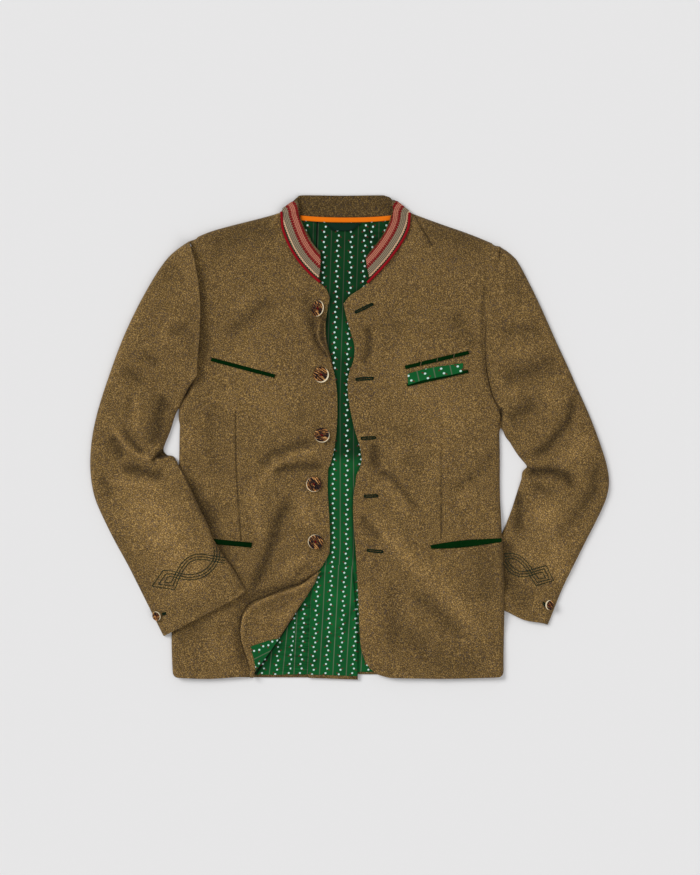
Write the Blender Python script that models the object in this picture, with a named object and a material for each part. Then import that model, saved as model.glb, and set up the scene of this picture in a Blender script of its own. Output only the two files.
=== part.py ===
"""A Tyrolean loden jacket, laid flat on its back and open down the front.

+Z is up from the surface it lies on, +Y runs from the hem to the collar, and +X is the wearer's left.
Tables are in millimetres. Every cloth piece is a sheet of sections given its thickness, and each layer
lies on the one below: back, lining, fronts, then the right sleeve, whose cuff rests on the body.
The left cuff lies under the body, which is lifted over it.
"""

import math

import bpy
from mathutils import Vector
from mathutils.bvhtree import BVHTree

MM = 0.001

# Cloth thicknesses and the space between pieces
LODEN = 1.8
FRONT_CLOTH = 2.6  # loden with its canvas and facing
SLEEVE_CLOTH = 2.4
LINING = 1.0
COLLAR_CLOTH = 2.4
SEAM = 0.4
ARMHOLE_SEAM = 0.9
MOST_SPACE = 3.6  # the padding of a shoulder or a ridge fills what would stand further off the layer below

# Colour and roughness
LODEN_FINISH = ((0.17, 0.12, 0.06), 0.95)
LINING_FINISH = ((0.01, 0.1, 0.03), 0.6)
VELVET_FINISH = ((0.005, 0.04, 0.012), 0.9)
ANTLER_FINISH = ((0.16, 0.08, 0.04), 0.35)
RIBBON_FINISH = ((0.3, 0.2, 0.15), 0.8)
PIPING_FINISH = ((0.35, 0.01, 0.02), 0.8)
TAPE_FINISH = ((0.75, 0.17, 0.0), 0.6)
TAB_FINISH = ((0.005, 0.03, 0.02), 0.7)

# Heights of the laid body above the surface
BODY_RISE = 9.6
SHOULDER_RISE = 14.0
CHEST_LINE, SHOULDER_LINE = 120.0, 300.0
FRONT_EDGE_RISE = 7.4
LAPPED_EDGE_RISE = 9.6
EDGE_EASE = 42.0  # the width over which a front falls to its free edge
ROLL = 10.0  # the width over which a side or shoulder rounds down to the surface
ROLL_ANGLES = (62.0, 38.0, 17.0, 0.0)  # degrees above the surface of the columns round a fold

CENTRE_BACK = -8.0
NECK_TOP = 349.5
LINING_UNDER = LODEN + SEAM
BACK_INSET = FRONT_CLOTH + 1.2
LINING_INSET = FRONT_CLOTH + 3.0
HEM_BACK = {True: -379.0, False: -384.0}  # of the left and the right half
HEM_CORNER = 9.0

# Outlines, each from the hem or the armpit upwards
FRONT_EDGE_LEFT = [
    (63, -385), (44, -380), (32, -372), (24, -359), (18, -343), (16, -326), (15, -303), (14, -270), (12, -236),
    (9, -178), (5, -130), (5, -97), (8, -74), (13, -57), (19, -44), (20, -32), (18, -20), (10, 2), (3, 30),
    (-2, 59), (-5, 81), (-3, 100), (5, 119), (9, 132), (8, 148), (2, 164), (-2, 181), (-7, 195), (-11, 214),
]  # fmt: skip
LAPEL_POINT_LEFT = [(-11, 214), (-10, 219), (-2, 226), (10, 233), (29, 247)]
NECKLINE_LEFT = [(29, 247), (42, 260), (57, 276), (74, 298), (90, 324), (97, 346), (96, 359)]
SHOULDER_LEFT = [(96, 360), (142, 343), (188, 327), (240, 306)]
ARMHOLE_LEFT = [
    (238, 40), (229, 60), (223, 79), (218, 103), (215, 132), (215, 162), (218, 191), (223, 226), (229, 255),
    (237, 285), (240, 305),
]  # fmt: skip
SIDE_LEFT = [(246, -384), (246, -356), (247, -292), (246, -220), (244, -172), (242, -132), (240, -84),
             (240, -20), (239, 14), (238, 40)]  # fmt: skip
HEM_LEFT = [(63, -385), (86, -386), (164, -386), (209, -385), (246, -384)]

FOLD_LINE = [(-156, -385), (-150, -370), (-130, -345), (-110, -316), (-101, -302), (-88, -282), (-70, -255),
             (-56, -233), (-42, -212)]  # fmt: skip
FRONT_EDGE_RIGHT = [
    (-42, -212), (-35, -195), (-32, -178), (-32, -150), (-33, -125), (-36, -80), (-36, -60), (-33, -46),
    (-28, -34), (-24, -15), (-22, 4), (-20, 36), (-20, 60), (-21, 81), (-24, 100), (-28, 115), (-34, 132),
    (-38, 150), (-40, 168), (-40, 184), (-37, 200), (-33, 214), (-32, 224),
]  # fmt: skip
LAPEL_POINT_RIGHT = [(-32, 224), (-35, 234), (-42, 243), (-49, 248)]
NECKLINE_RIGHT = [(-49, 248), (-62, 259), (-78, 276), (-95, 301), (-108, 332), (-114, 358)]
SHOULDER_RIGHT = [(-114, 359), (-143, 351), (-183, 341), (-236, 325), (-256, 315)]
ARMHOLE_RIGHT = [(-243, 100), (-243, 124), (-241, 148), (-239, 172), (-238, 201), (-239, 223), (-241, 246),
                 (-247, 282), (-256, 314)]  # fmt: skip
SIDE_RIGHT = [
    (-284, -385), (-285, -356), (-286, -324), (-283, -276), (-281, -228), (-278, -172), (-276, -116),
    (-274, -52), (-273, 0), (-272, 30), (-267, 52), (-259, 72), (-250, 88), (-243, 100),
]  # fmt: skip
HEM_RIGHT = [(-156, -385), (-191, -386), (-239, -386), (-284, -385)]

# Folds of the laid cloth: start x, start y, end x, end y, half width, rise (negative is a trough)
BODY_FOLDS = [
    (-155, -48, -120, -18, 10, -3.0), (-120, -18, -52, -4, 10, -3.0),
    (-146, -62, -100, -30, 8, 2.6), (-100, -30, -42, -22, 8, 3.0),
    (-98, -46, -36, -42, 9, -2.6),
    (-90, -88, -118, -150, 9, -3.4), (-118, -150, -140, -214, 10, -3.0), (-145, -85, -138, -130, 12, 2.0),
    (-62, -220, -140, -236, 10, -3.0),
    (-40, 214, -58, 160, 13, -2.6), (-56, 160, -44, 128, 9, -2.2),
    (-170, 290, -215, 180, 16, 1.6), (-165, 240, -215, 170, 14, -1.6), (-224, 70, -218, -60, 16, -1.6),
    (28, 175, 22, 122, 8, -3.0), (40, 190, 80, 172, 12, -1.8),
    (38, 2, 38, -28, 7, -3.4), (38, -28, 98, -82, 10, -2.8), (56, -22, 104, -66, 9, 1.8),
    (22, -110, 48, -158, 10, -2.4),
    (24, -112, 110, -190, 14, 2.8), (110, -190, 170, -250, 16, 2.6), (170, -250, 212, -308, 16, 2.0),
    (108, -254, 186, -330, 18, -2.2), (55, -240, 62, -330, 16, 1.6),
    (118, 290, 186, 172, 14, -1.8), (100, 300, 140, 200, 16, 1.2),
]  # fmt: skip
SLEEVE_RIGHT_FOLDS = [
    (-384, 22, -350, -12, 8, 3.4), (-350, -12, -300, -28, 8, 4.6),
    (-378, 34, -330, -10, 9, -3.0), (-376, -42, -340, -54, 11, -3.6), (-340, -54, -292, -62, 9, -3.0),
    (-296, 62, -312, 8, 10, -4.0), (-340, 110, -318, 60, 13, -2.2), (-352, 96, -322, 20, 10, 1.8),
    (-282, 176, -250, 168, 12, -2.0), (-386, -70, -330, -120, 14, 1.6), (-298, -120, -226, -206, 18, 1.6),
]  # fmt: skip
SLEEVE_LEFT_FOLDS = [
    (286, -32, 320, -10, 9, -3.2), (320, -10, 350, 30, 10, -3.0), (284, -42, 330, -36, 7, 3.4),
    (294, -56, 336, -64, 9, -4.0), (336, -64, 362, -74, 8, -3.4), (266, -100, 256, -150, 9, -3.0),
    (276, 52, 306, 44, 12, -2.2), (300, 112, 350, 92, 13, -1.8), (262, 172, 300, 168, 14, -1.6),
    (378, -120, 352, -160, 12, -2.2), (330, -84, 318, -176, 14, 2.0),
]  # fmt: skip

# Sleeve sections from the armhole to the cuff: outer edge x, y, inner edge x, y, share of the armhole's
# curve, rise over what the sleeve lies on
SLEEVE_RIGHT_SECTIONS = [
    (-257, 314, -244, 99, 1.0, 13.0), (-287, 293, -254, 85, 0.7, 13.0), (-311, 260, -265, 68, 0.4, 12.5),
    (-334, 220, -274, 48, 0.15, 12.0), (-353, 182, -281, 30, 0.0, 11.5), (-370, 142, -286, 13, 0.0, 11.0),
    (-386, 97, -292, -2, 0.0, 11.0), (-399, 58, -297, -14, 0.0, 11.0), (-409, 20, -298, -21, 0.0, 11.5),
    (-415, -20, -294, -27, 0.0, 11.5), (-415, -60, -286, -32, 0.0, 11.0), (-409, -95, -275, -41, 0.0, 10.5),
    (-393, -132, -262, -64, 0.0, 10.0), (-374, -170, -247, -98, 0.0, 9.5), (-356, -202, -232, -128, 0.0, 9.0),
    (-335, -244, -212, -166, 0.0, 8.5), (-316, -282, -189, -205, 0.0, 8.2), (-298, -318, -164, -247, 0.0, 8.0),
]  # fmt: skip
SLEEVE_LEFT_SECTIONS = [
    (241, 305, 240, 40, 1.0, 13.0), (262, 290, 244, 28, 0.75, 13.0), (281, 258, 248, 12, 0.45, 12.5),
    (298, 224, 252, 0, 0.2, 12.0), (315, 187, 256, -9, 0.0, 11.5), (332, 148, 261, -17, 0.0, 11.0),
    (350, 110, 266, -25, 0.0, 11.0), (366, 73, 272, -33, 0.0, 11.0), (382, 38, 279, -41, 0.0, 11.5),
    (398, -4, 283, -47, 0.0, 11.5), (410, -41, 281, -52, 0.0, 11.5), (415, -71, 276, -61, 0.0, 11.0),
    (410, -98, 271, -75, 0.0, 10.5), (396, -129, 265, -94, 0.0, 10.0), (378, -164, 258, -116, 0.0, 9.5),
    (359, -202, 247, -144, 0.0, 9.0), (337, -247, 226, -188, 0.0, 8.6), (327, -273, 203, -220, 0.0, 8.2),
    (316, -300, 178, -252, 0.0, 8.0),
]  # fmt: skip

# The left cuff under the body
CUFF_CORNER = Vector((175, -255))
CUFF_FOREARM = Vector((255, -125))
CUFF_FAR_CORNER = Vector((316, -303))
CUFF_TOP = 5.2
CUFF_LIFT = 5.6
LIFT_RAMP = 26.0

# The right front's lower corner, turned back: fold x, y, free edge x, y
TURNBACK_SECTIONS = [
    (-44, -213, -52, -215), (-52, -226, -66, -232), (-62, -243, -88, -243), (-75, -263, -114, -251),
    (-86, -279, -136, -259), (-95, -293, -156, -269), (-101, -302, -169, -284), (-106, -310, -174, -309),
    (-110, -316, -172, -336), (-111, -318, -171, -338), (-124, -337, -169, -349), (-138, -356, -165, -361),
    (-149, -371, -162, -373), (-154, -384, -160, -384),
]  # fmt: skip
LINING_FROM = 9  # the section where the facing ends and the lining shows
TURNBACK_LIP = 6.4
LIP_UPPER = (0.0, 0.12, 0.45, 1.0)  # shares of the lip's width across its rounded outside
LIP_LOWER = (0.35, 0.5, 0.8, 0.97)
LIP_RISE = (0.25, 0.62, 0.9, 1.0)
LIP_UNDER = 6.3
PANEL_TOP = 8.8
TURNBACK_CLOTH = 3.0
HEM_TURNING = 13.0
UNDER_SLEEVE_INSET = 0.9

# The collar band from the right front end, round the back, to the left front end:
# neck seam x, y, z, top edge x, y, z, of its outer face
COLLAR_SECTIONS = [
    (-48, 254, 7.6, -47, 298, 8.4), (-60, 265, 7.8, -57, 310, 8.8), (-75, 281, 8.2, -66, 323, 9.2),
    (-91, 304, 8.8, -75, 339, 9.6), (-103, 332, 9.2, -82, 358, 9.8), (-108, 348, 9.0, -84, 372, 9.6),
    (-111, 355, 8.0, -84, 381, 8.6), (-112.5, 358.5, 5.0, -82, 387, 5.2),
    (-110, 357, 1.4, -78, 388, 1.6), (-102, 353.8, 0.2, -68, 388, 0.4), (-60, 352, 0.0, -40, 387.5, 0.3),
    (-8, 351, 0.0, -8, 387, 0.3), (44, 352, 0.0, 24, 387.5, 0.3), (86, 353.8, 0.2, 52, 388, 0.4),
    (92, 357, 1.4, 61, 388, 1.6), (94.5, 358.5, 5.0, 65, 387, 5.2), (93, 355, 8.0, 68, 381, 8.6),
    (91.2, 346, 9.0, 69, 372, 9.6), (85, 328, 9.2, 65, 349, 9.8), (70, 302, 8.8, 55, 328, 9.6),
    (54, 281, 8.2, 43, 310, 9.2), (41, 266, 7.8, 32, 298, 8.8), (30, 255, 7.6, 25, 288, 8.4),
]  # fmt: skip
RIBBON_ROWS = 6  # sections of the collar that carry the woven band on each side
RIBBON_CLOTH = 0.9
PIPING_RADIUS = 1.9

BUTTONS = [("button_1", -49, 206), ("button_2", -44, 100), ("button_3", -45, 3), ("button_4", -57, -76),
           ("button_5", -54, -167)]  # fmt: skip
BUTTON_RADIUS, BUTTON_HEIGHT = 12.4, 4.2
CUFF_BUTTONS = [("cuff_button_right", -305, -287), ("cuff_button_left", 316, -268)]
CUFF_BUTTON_RADIUS, CUFF_BUTTON_HEIGHT = 7.6, 3.2

# Velvet welts: name, end x, y, other end x, y, half width at each end, half width between, panel
WELTS = [
    ("welt_chest_right", -222, 125, -120, 98, 2.9, 3.1, "front_right"),
    ("welt_chest_left", 88, 112, 190, 136, 2.9, 3.1, "front_left"),
    ("welt_square_left", 91, 84, 189, 106, 2.6, 2.7, "front_left"),
    ("welt_hip_right", -222, -166, -157, -172, 4.2, 4.0, "front_right"),
    ("welt_hip_left", 129, -175, 234, -165, 2.8, 5.6, "front_left"),
]
WELT_HEIGHT = 1.3
POCKET_SQUARE = [(93, 92, 92, 104), (116, 98, 114, 109), (138, 102, 137, 113), (160, 106, 160, 116),
                 (180, 110, 181, 119)]  # fmt: skip


# ---------------------------------------------------------------- curves and heights


def ease(t):
    """0 to 1, level at both ends."""
    t = max(0.0, min(1.0, t))
    return t * t * (3 - 2 * t)


def curve_through(points):
    """Many close points on a smooth curve through the given ones, however unevenly they are spaced."""
    pts = [Vector(p) for p in points]
    runs = [max((b - a).length, 1e-6) for a, b in zip(pts, pts[1:])]
    slopes = [(b - a) / run for a, b, run in zip(pts, pts[1:], runs)]
    tangents = [slopes[0]]
    for k in range(1, len(pts) - 1):
        tangents.append((slopes[k - 1] * runs[k] + slopes[k] * runs[k - 1]) / (runs[k - 1] + runs[k]))
    tangents.append(slopes[-1])
    line = []
    for a, b, run, leaving, arriving in zip(pts, pts[1:], runs, tangents, tangents[1:]):
        for i in range(12):
            t = i / 12
            line.append(a * (1 + 2 * t) * (1 - t) ** 2 + b * t * t * (3 - 2 * t)
                        + leaving * run * t * (1 - t) ** 2 - arriving * run * t * t * (1 - t))  # fmt: skip
    return line + [pts[-1]]


def spaced(points, count, straight=False):
    """count + 1 points, evenly spaced along a smooth curve, or straight lines, through the given ones."""
    line = [Vector(p) for p in points] if straight else curve_through(points)
    lengths = [0.0]
    for a, b in zip(line, line[1:]):
        lengths.append(lengths[-1] + (b - a).length)
    result, k = [], 0
    for i in range(count + 1):
        want = lengths[-1] * i / count
        while k < len(line) - 2 and lengths[k + 1] < want:
            k += 1
        span = max(lengths[k + 1] - lengths[k], 1e-9)
        result.append(line[k].lerp(line[k + 1], min(1.0, (want - lengths[k]) / span)))
    return result


def chained(*parts):
    """Several (points, count) curves end to end, keeping the corners between them."""
    line = []
    for points, count in parts:
        line += spaced(points, count)[1 if line else 0 :]
    return line


def outward(line, side):
    """Unit vectors at right angles to a plane line, to its right (side 1) or left (side -1)."""
    result = []
    for i in range(len(line)):
        along = (line[min(i + 1, len(line) - 1)] - line[max(i - 1, 0)]).normalized()
        result.append(Vector((along.y, -along.x)) * side)
    return result


def moved(line, normals, distance):
    return [p + n * distance for p, n in zip(line, normals)]


def patch(left, right, bottom, top):
    """A plane grid of points between four edges that meet at the corners. Rows run from left to right."""
    rows, columns = len(left), len(bottom)
    grid = []
    for i in range(rows):
        v = i / (rows - 1)
        row = []
        for j in range(columns):
            u = j / (columns - 1)
            ruled = left[i].lerp(right[i], u) + bottom[j].lerp(top[j], v)
            corners = bottom[0].lerp(bottom[-1], u).lerp(top[0].lerp(top[-1], u), v)
            row.append(ruled - corners)
        grid.append(row)
    return grid


def fold_rise(folds, x, y):
    """The height that the folds add at a point."""
    total, here = 0.0, Vector((x, y))
    for x0, y0, x1, y1, width, rise in folds:
        start, run = Vector((x0, y0)), Vector((x1 - x0, y1 - y0))
        t = max(0.0, min(1.0, (here - start).dot(run) / run.length_squared))
        away = (here - start - run * t).length / width
        if away < 3:
            total += rise * math.exp(-away * away)
    return total


def cuff_lift(x, y):
    """How far the left cuff lifts the body that lies on it."""
    here = Vector((x, y))
    forearm = (CUFF_FOREARM - CUFF_CORNER).normalized()
    hem = (CUFF_FAR_CORNER - CUFF_CORNER).normalized()
    beside = (here - CUFF_CORNER).dot(Vector((-forearm.y, forearm.x)))
    below = (here - CUFF_CORNER).dot(Vector((hem.y, -hem.x)))
    return CUFF_LIFT * (1 - ease(max(beside, below, 0.0) / LIFT_RAMP))


def body_rise(x, y, from_edge, edge_rise):
    """Height of a front's outer face, from_edge millimetres in from its free edge."""
    full = BODY_RISE + (SHOULDER_RISE - BODY_RISE) * ease((y - CHEST_LINE) / (SHOULDER_LINE - CHEST_LINE))
    inner = ease(from_edge / EDGE_EASE)
    return edge_rise + (full - edge_rise) * inner + fold_rise(BODY_FOLDS, x, y) * (0.35 + 0.65 * inner)


# ---------------------------------------------------------------- making solids


def give_finish(made, finish):
    """A material of the piece's own: finish is its colour and its roughness."""
    colour, roughness = finish
    own = bpy.data.materials.new(made.name)
    own.use_nodes = True
    shader = own.node_tree.nodes["Principled BSDF"]
    shader.inputs["Base Color"].default_value = (*colour, 1)
    shader.inputs["Roughness"].default_value = roughness
    shader.inputs["Metallic"].default_value = 0.0
    own.diffuse_color = (*colour, 1)
    made.data.materials.append(own)


def link(name, points, faces, finish):
    mesh = bpy.data.meshes.new(name)
    mesh.from_pydata([Vector(p) * MM for p in points], [], faces)
    mesh.update()
    made = bpy.data.objects.new(name, mesh)
    bpy.context.scene.collection.objects.link(made)
    give_finish(made, finish)
    return made


def sheet(name, grid, thickness, finish):
    """A cloth wall: the grid is its outer face, and Solidify gives it thickness on the inner side."""
    columns = len(grid[0])
    faces = []
    for i in range(len(grid) - 1):
        for j in range(columns - 1):
            a = i * columns + j
            faces.append((a, a + 1, a + columns + 1, a + columns))
    made = link(name, [p for row in grid for p in row], faces, finish)
    solid = made.modifiers.new("thickness", "SOLIDIFY")
    solid.thickness = thickness * MM
    solid.offset = -1
    made.data.shade_smooth()
    return made


def split_ac(grid, i, j):
    """Whether a cell is split from its first corner to its third, which is its shorter way in plan."""
    a, b, c, d = grid[i][j], grid[i][j + 1], grid[i + 1][j + 1], grid[i + 1][j]
    return (a - c).xy.length <= (b - d).xy.length


def slab(name, upper, lower, finish):
    """A solid between an upper and a lower grid of the same size, whose cells are split alike."""
    rows, columns = len(upper), len(upper[0])
    count = rows * columns
    points = [p for row in upper for p in row] + [p for row in lower for p in row]
    faces = []
    for i in range(rows - 1):
        for j in range(columns - 1):
            a = i * columns + j
            b, c, d = a + 1, a + columns + 1, a + columns
            halves = ((a, b, c), (a, c, d)) if split_ac(upper, i, j) else ((a, b, d), (b, c, d))
            for half in halves:
                faces.append(half)
                faces.append(tuple(k + count for k in reversed(half)))
    rim = [j for j in range(columns)]
    rim += [i * columns + columns - 1 for i in range(1, rows)]
    rim += [(rows - 1) * columns + j for j in range(columns - 2, -1, -1)]
    rim += [i * columns for i in range(rows - 2, 0, -1)]
    for a, b in zip(rim, rim[1:] + rim[:1]):
        faces += [(a, a + count, b), (b, a + count, b + count)]
    made = link(name, points, faces, finish)
    made.data.shade_smooth()
    return made


def flat_cut(name, outline, thickness, finish):
    """A flat piece on the surface, from its outline in plan, in order."""
    count = len(outline)
    points = [Vector((p.x, p.y, z)) for z in (thickness, 0.0) for p in outline]
    turn = sum(a.x * b.y - b.x * a.y for a, b in zip(outline, outline[1:] + outline[:1]))
    faces = [tuple(range(count)), tuple(range(2 * count - 1, count - 1, -1))]
    faces += [(k, k + count, (k + 1) % count + count, (k + 1) % count) for k in range(count)]
    if turn < 0:
        faces = [face[::-1] for face in faces]
    return link(name, points, faces, finish)


class Surface:
    """The upper side of pieces already made, to lay others on."""

    def __init__(self, *pieces):
        bpy.context.view_layer.update()
        self.trees = [BVHTree.FromObject(p, bpy.context.evaluated_depsgraph_get()) for p in pieces]

    def near(self, x, y, margin):
        """The greatest height at a point and, where there is a margin, around it."""
        if not margin:
            return self.height(x, y)
        around = ((0, 0), (margin, 0), (-margin, 0), (0, margin), (0, -margin))
        return max(self.height(x + dx, y + dy) for dx, dy in around)

    def height(self, x, y, missed=0.0):
        above, down = Vector((x, y, 200)) * MM, Vector((0, 0, -1))
        hits = [tree.ray_cast(above, down)[0] for tree in self.trees]
        return max([missed] + [hit.z / MM for hit in hits if hit])

    def plane(self, x, y, reach):
        """Where a flat piece of that radius rests: the middle of its underside, and its upward direction."""
        dx = (self.height(x + reach, y) - self.height(x - reach, y)) / (2 * reach)
        dy = (self.height(x, y + reach) - self.height(x, y - reach)) / (2 * reach)
        up = Vector((-dx, -dy, 1)).normalized()
        centre = Vector((x, y, self.height(x, y)))
        highest = 0.0
        for ring in (0.35, 0.7, 1.0):
            for k in range(16):
                angle = math.tau * k / 16
                px, py = x + reach * ring * math.cos(angle), y + reach * ring * math.sin(angle)
                highest = max(highest, (Vector((px, py, self.height(px, py))) - centre).dot(up))
        return centre + up * (highest + 0.3), up


def settle(grids, surface, gap, margin=2.0, spacing=6.0, carried=()):
    """Raises grids of one shape, all by the same amount at each point, until their facets clear the surface.
    Grids that are carried move with them."""
    split_like = (*carried, *grids)[0]
    rows, columns = len(grids[0]), len(grids[0][0])
    needs = []
    for grid in grids:
        for i in range(rows - 1):
            for j in range(columns - 1):
                places = ((i, j), (i, j + 1), (i + 1, j + 1), (i + 1, j))
                a, b, c, d = (grid[m][n] for m, n in places)
                halves_ac = split_ac(split_like, i, j)
                steps = max(2, math.ceil(max((a - c).length, (b - d).length) / spacing))
                for m in range(steps + 1):
                    for n in range(steps + 1):
                        u, v = m / steps, n / steps
                        if halves_ac:
                            shares = (1 - u, u - v, v, 0.0) if u >= v else (1 - v, 0.0, u, v - u)
                        elif u + v <= 1:
                            shares = (1 - u - v, u, 0.0, v)
                        else:
                            shares = (0.0, 1 - v, u + v - 1, 1 - u)
                        p = a * shares[0] + b * shares[1] + c * shares[2] + d * shares[3]
                        ground = surface.near(p.x, p.y, margin)
                        if 0 < ground < p.z + 30 and p.z < ground + gap + 12:
                            used = [(q, w) for q, w in zip(places, shares) if w > 0.001]
                            needs.append((ground + gap - p.z, used, sum(w * w for q, w in used)))
    lift = {}
    for _ in range(80):
        worst = 0.0
        for need, used, total in needs:
            short = need - sum(lift.get(q, 0.0) * w for q, w in used)
            if short > 0.005:
                worst = max(worst, short)
                for q, w in used:
                    lift[q] = lift.get(q, 0.0) + short * w / total
        if not worst:
            break
    for grid in (*grids, *carried):
        for (i, j), amount in lift.items():
            grid[i][j].z += amount


# ---------------------------------------------------------------- the body


def front(name, edge, outer, hem, shoulder, roll_from, left_side, edge_rise, below):
    """A front panel. edge and outer run up from the hem, hem and shoulder from the front edge outwards.
    Below row roll_from the outer edge rounds down to the surface; above it, it is the armhole."""
    columns, rows = len(hem), len(edge)
    side = 1 if left_side else -1
    out = outward(outer, side)
    up = outward(shoulder, -side)
    inset_outer = moved(outer, out, -ROLL)
    inset_shoulder = moved(shoulder, up, -ROLL)
    inset_outer[-1] = inset_shoulder[-1] = shoulder[-1] - out[-1] * ROLL - up[-1] * ROLL
    lower_edge = spaced([tuple(hem[0]), tuple(hem[len(hem) // 2]), tuple(inset_outer[0])], columns - 1)
    inner_edge = [p for p in edge]
    inner_edge[-1] = inset_shoulder[0]
    plan = patch(inner_edge, inset_outer, lower_edge, inset_shoulder)
    angles = [math.radians(a) for a in (90.0, *ROLL_ANGLES)]
    outer_grid, inner_grid = [], []
    for i in range(rows + len(ROLL_ANGLES)):
        k, v = max(0, i - rows + 1), min(i, rows - 1)
        outer_row, inner_row = [], []
        for j in range(columns + len(ROLL_ANGLES)):
            m, u = max(0, j - columns + 1), min(j, columns - 1)
            across, along = math.cos(angles[m]), math.cos(angles[k])
            from_edge = (plan[v][u] - plan[v][0]).length
            rolled = ease((roll_from - v) / 2.0 + 0.5)
            share = (1 - rolled * (1 - math.sin(angles[m]))) * math.sin(angles[k])
            here = plan[v][u] + out[v] * ROLL * across + up[u] * ROLL * along
            if v == 0:
                here.y += HEM_CORNER * (1 - math.sin(angles[m]))
            rise = body_rise(here.x, here.y, from_edge, edge_rise)
            base = cuff_lift(here.x, here.y)
            outer_row.append(Vector((here.x, here.y, base + rise * share)))
            thick_side = FRONT_CLOTH * rolled
            thinner = plan[v][u] + out[v] * (ROLL - thick_side) * across
            thinner += up[u] * (ROLL - FRONT_CLOTH) * along
            if v == 0:
                thinner.y += HEM_CORNER * (1 - math.sin(angles[m]))
            inside = min(rise - FRONT_CLOTH, LINING_UNDER + LINING + MOST_SPACE)
            inner_row.append(Vector((thinner.x, thinner.y, base + inside * share)))
        outer_grid.append(outer_row)
        inner_grid.append(inner_row)
    settle([outer_grid, inner_grid], below, 0.4, margin=1.0)
    if not left_side:
        outer_grid = [row[::-1] for row in outer_grid]
        inner_grid = [row[::-1] for row in inner_grid]
    return slab(name, outer_grid, inner_grid, LODEN_FINISH)


def front_left(below):
    edge = chained((FRONT_EDGE_LEFT, 27), (LAPEL_POINT_LEFT, 3), (NECKLINE_LEFT, 6))
    outer = chained((SIDE_LEFT, 22), (ARMHOLE_LEFT, 14))
    return front("front_left", edge, outer, spaced(HEM_LEFT, 11), spaced(SHOULDER_LEFT, 11), 21, True,
                 LAPPED_EDGE_RISE, below)  # fmt: skip


def front_right(below):
    fold = spaced(FOLD_LINE, 10)
    inset_fold = moved(fold, outward(fold, 1), -TURNBACK_LIP - 0.8)
    inset_fold[-1] = Vector(FRONT_EDGE_RIGHT[0]) + Vector((-2, 6))
    edge = inset_fold[:-1] + chained(
        ([tuple(inset_fold[-1]), *FRONT_EDGE_RIGHT[1:]], 18), (LAPEL_POINT_RIGHT, 2), (NECKLINE_RIGHT, 6)
    )
    outer = chained((SIDE_RIGHT, 24), (ARMHOLE_RIGHT, 12))
    hem = spaced([tuple(edge[0]), *HEM_RIGHT[1:]], 11)
    return front("front_right", edge, outer, hem, spaced(SHOULDER_RIGHT, 11), 23, False, FRONT_EDGE_RISE, below)


def back_outline(left_side, inset):
    """Side and top edges of half a back, inside those of its front."""
    side = 1 if left_side else -1
    outer = spaced(SIDE_LEFT if left_side else SIDE_RIGHT, 16)
    outer = moved(outer, outward(outer, side), -inset)
    armhole = spaced(ARMHOLE_LEFT if left_side else ARMHOLE_RIGHT, 6)
    armhole = moved(armhole, outward(armhole, side), -1.2)
    shoulder = spaced(SHOULDER_LEFT if left_side else SHOULDER_RIGHT, 5)
    shoulder = moved(shoulder, outward(shoulder, -side), -inset)
    shoulder[0] += Vector((-2 * side, -6))
    shoulder[-1] -= Vector((5 * side, 1))
    neck = [shoulder[0], Vector((CENTRE_BACK + 55 * side, NECK_TOP + 0.4)), Vector((CENTRE_BACK, NECK_TOP))]
    armhole[-1] = shoulder[-1]
    armhole[-2].x -= 1.5 * side
    outer[-1] = (outer[-1] + armhole[0]) / 2
    top = list(reversed(shoulder)) + spaced([tuple(p) for p in neck], 5)[1:]
    return outer + armhole[1:], top


def laid(name, plan, under, thickness, below, finish):
    """A flat sheet on the layers below it."""
    lower = [[Vector((p.x, p.y, under + cuff_lift(p.x, p.y))) for p in row] for row in plan]
    if below:
        settle([lower], below, 0.4)
    upper = [[p + Vector((0, 0, thickness)) for p in row] for row in lower]
    return slab(name, upper, lower, finish)


def back_half(name, left_side, below):
    side = 1 if left_side else -1
    outer, top = back_outline(left_side, BACK_INSET)
    hem_y = HEM_BACK[left_side]
    outer[0] = Vector((outer[0].x, hem_y + 4))
    seam_x = CENTRE_BACK + side * SEAM / 2
    rows = len(outer) - 1
    centre = [Vector((seam_x, hem_y + (NECK_TOP - hem_y) * i / rows)) for i in range(rows + 1)]
    top[-1] = centre[-1]
    hem = [(outer[0].x, hem_y + 4), (outer[0].x - 8 * side, hem_y), (seam_x + 40 * side, hem_y), (seam_x, hem_y)]
    plan = patch(outer, centre, spaced(hem, len(top) - 1, straight=True), top)
    if not below:
        rim = [row[0] for row in plan] + plan[-1][1:] + [row[-1] for row in plan[-2::-1]] + plan[0][-2:0:-1]
        return flat_cut(name, rim, LODEN, LODEN_FINISH)
    plan = [row[::-1] for row in plan]
    return laid(name, plan, 0.0, LODEN, below, LODEN_FINISH)


def back_lining(below):
    """One sheet over both halves of the back."""
    left, left_top = back_outline(True, LINING_INSET)
    right, right_top = back_outline(False, LINING_INSET)
    left_y, right_y = HEM_BACK[True] + 4, HEM_BACK[False] + 4
    left[0], right[0] = Vector((left[0].x, left_y + 4)), Vector((right[0].x, right_y + 4))
    top = [*right_top[:-1], *reversed(left_top)]
    top = [Vector((p.x, min(p.y, NECK_TOP - 0.5))) for p in top]
    left[-1], right[-1] = top[-1], top[0]
    hem = [right[0], Vector((right[0].x + 10, right_y)), Vector((CENTRE_BACK - 8, right_y)),
           Vector((CENTRE_BACK + 16, left_y)), Vector((left[0].x - 10, left_y)), left[0]]  # fmt: skip
    plan = patch(right, left, spaced(hem, len(top) - 1, straight=True), top)
    return laid("lining_back", plan, LINING_UNDER, LINING, below, LINING_FINISH)


# ---------------------------------------------------------------- the vent

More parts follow.
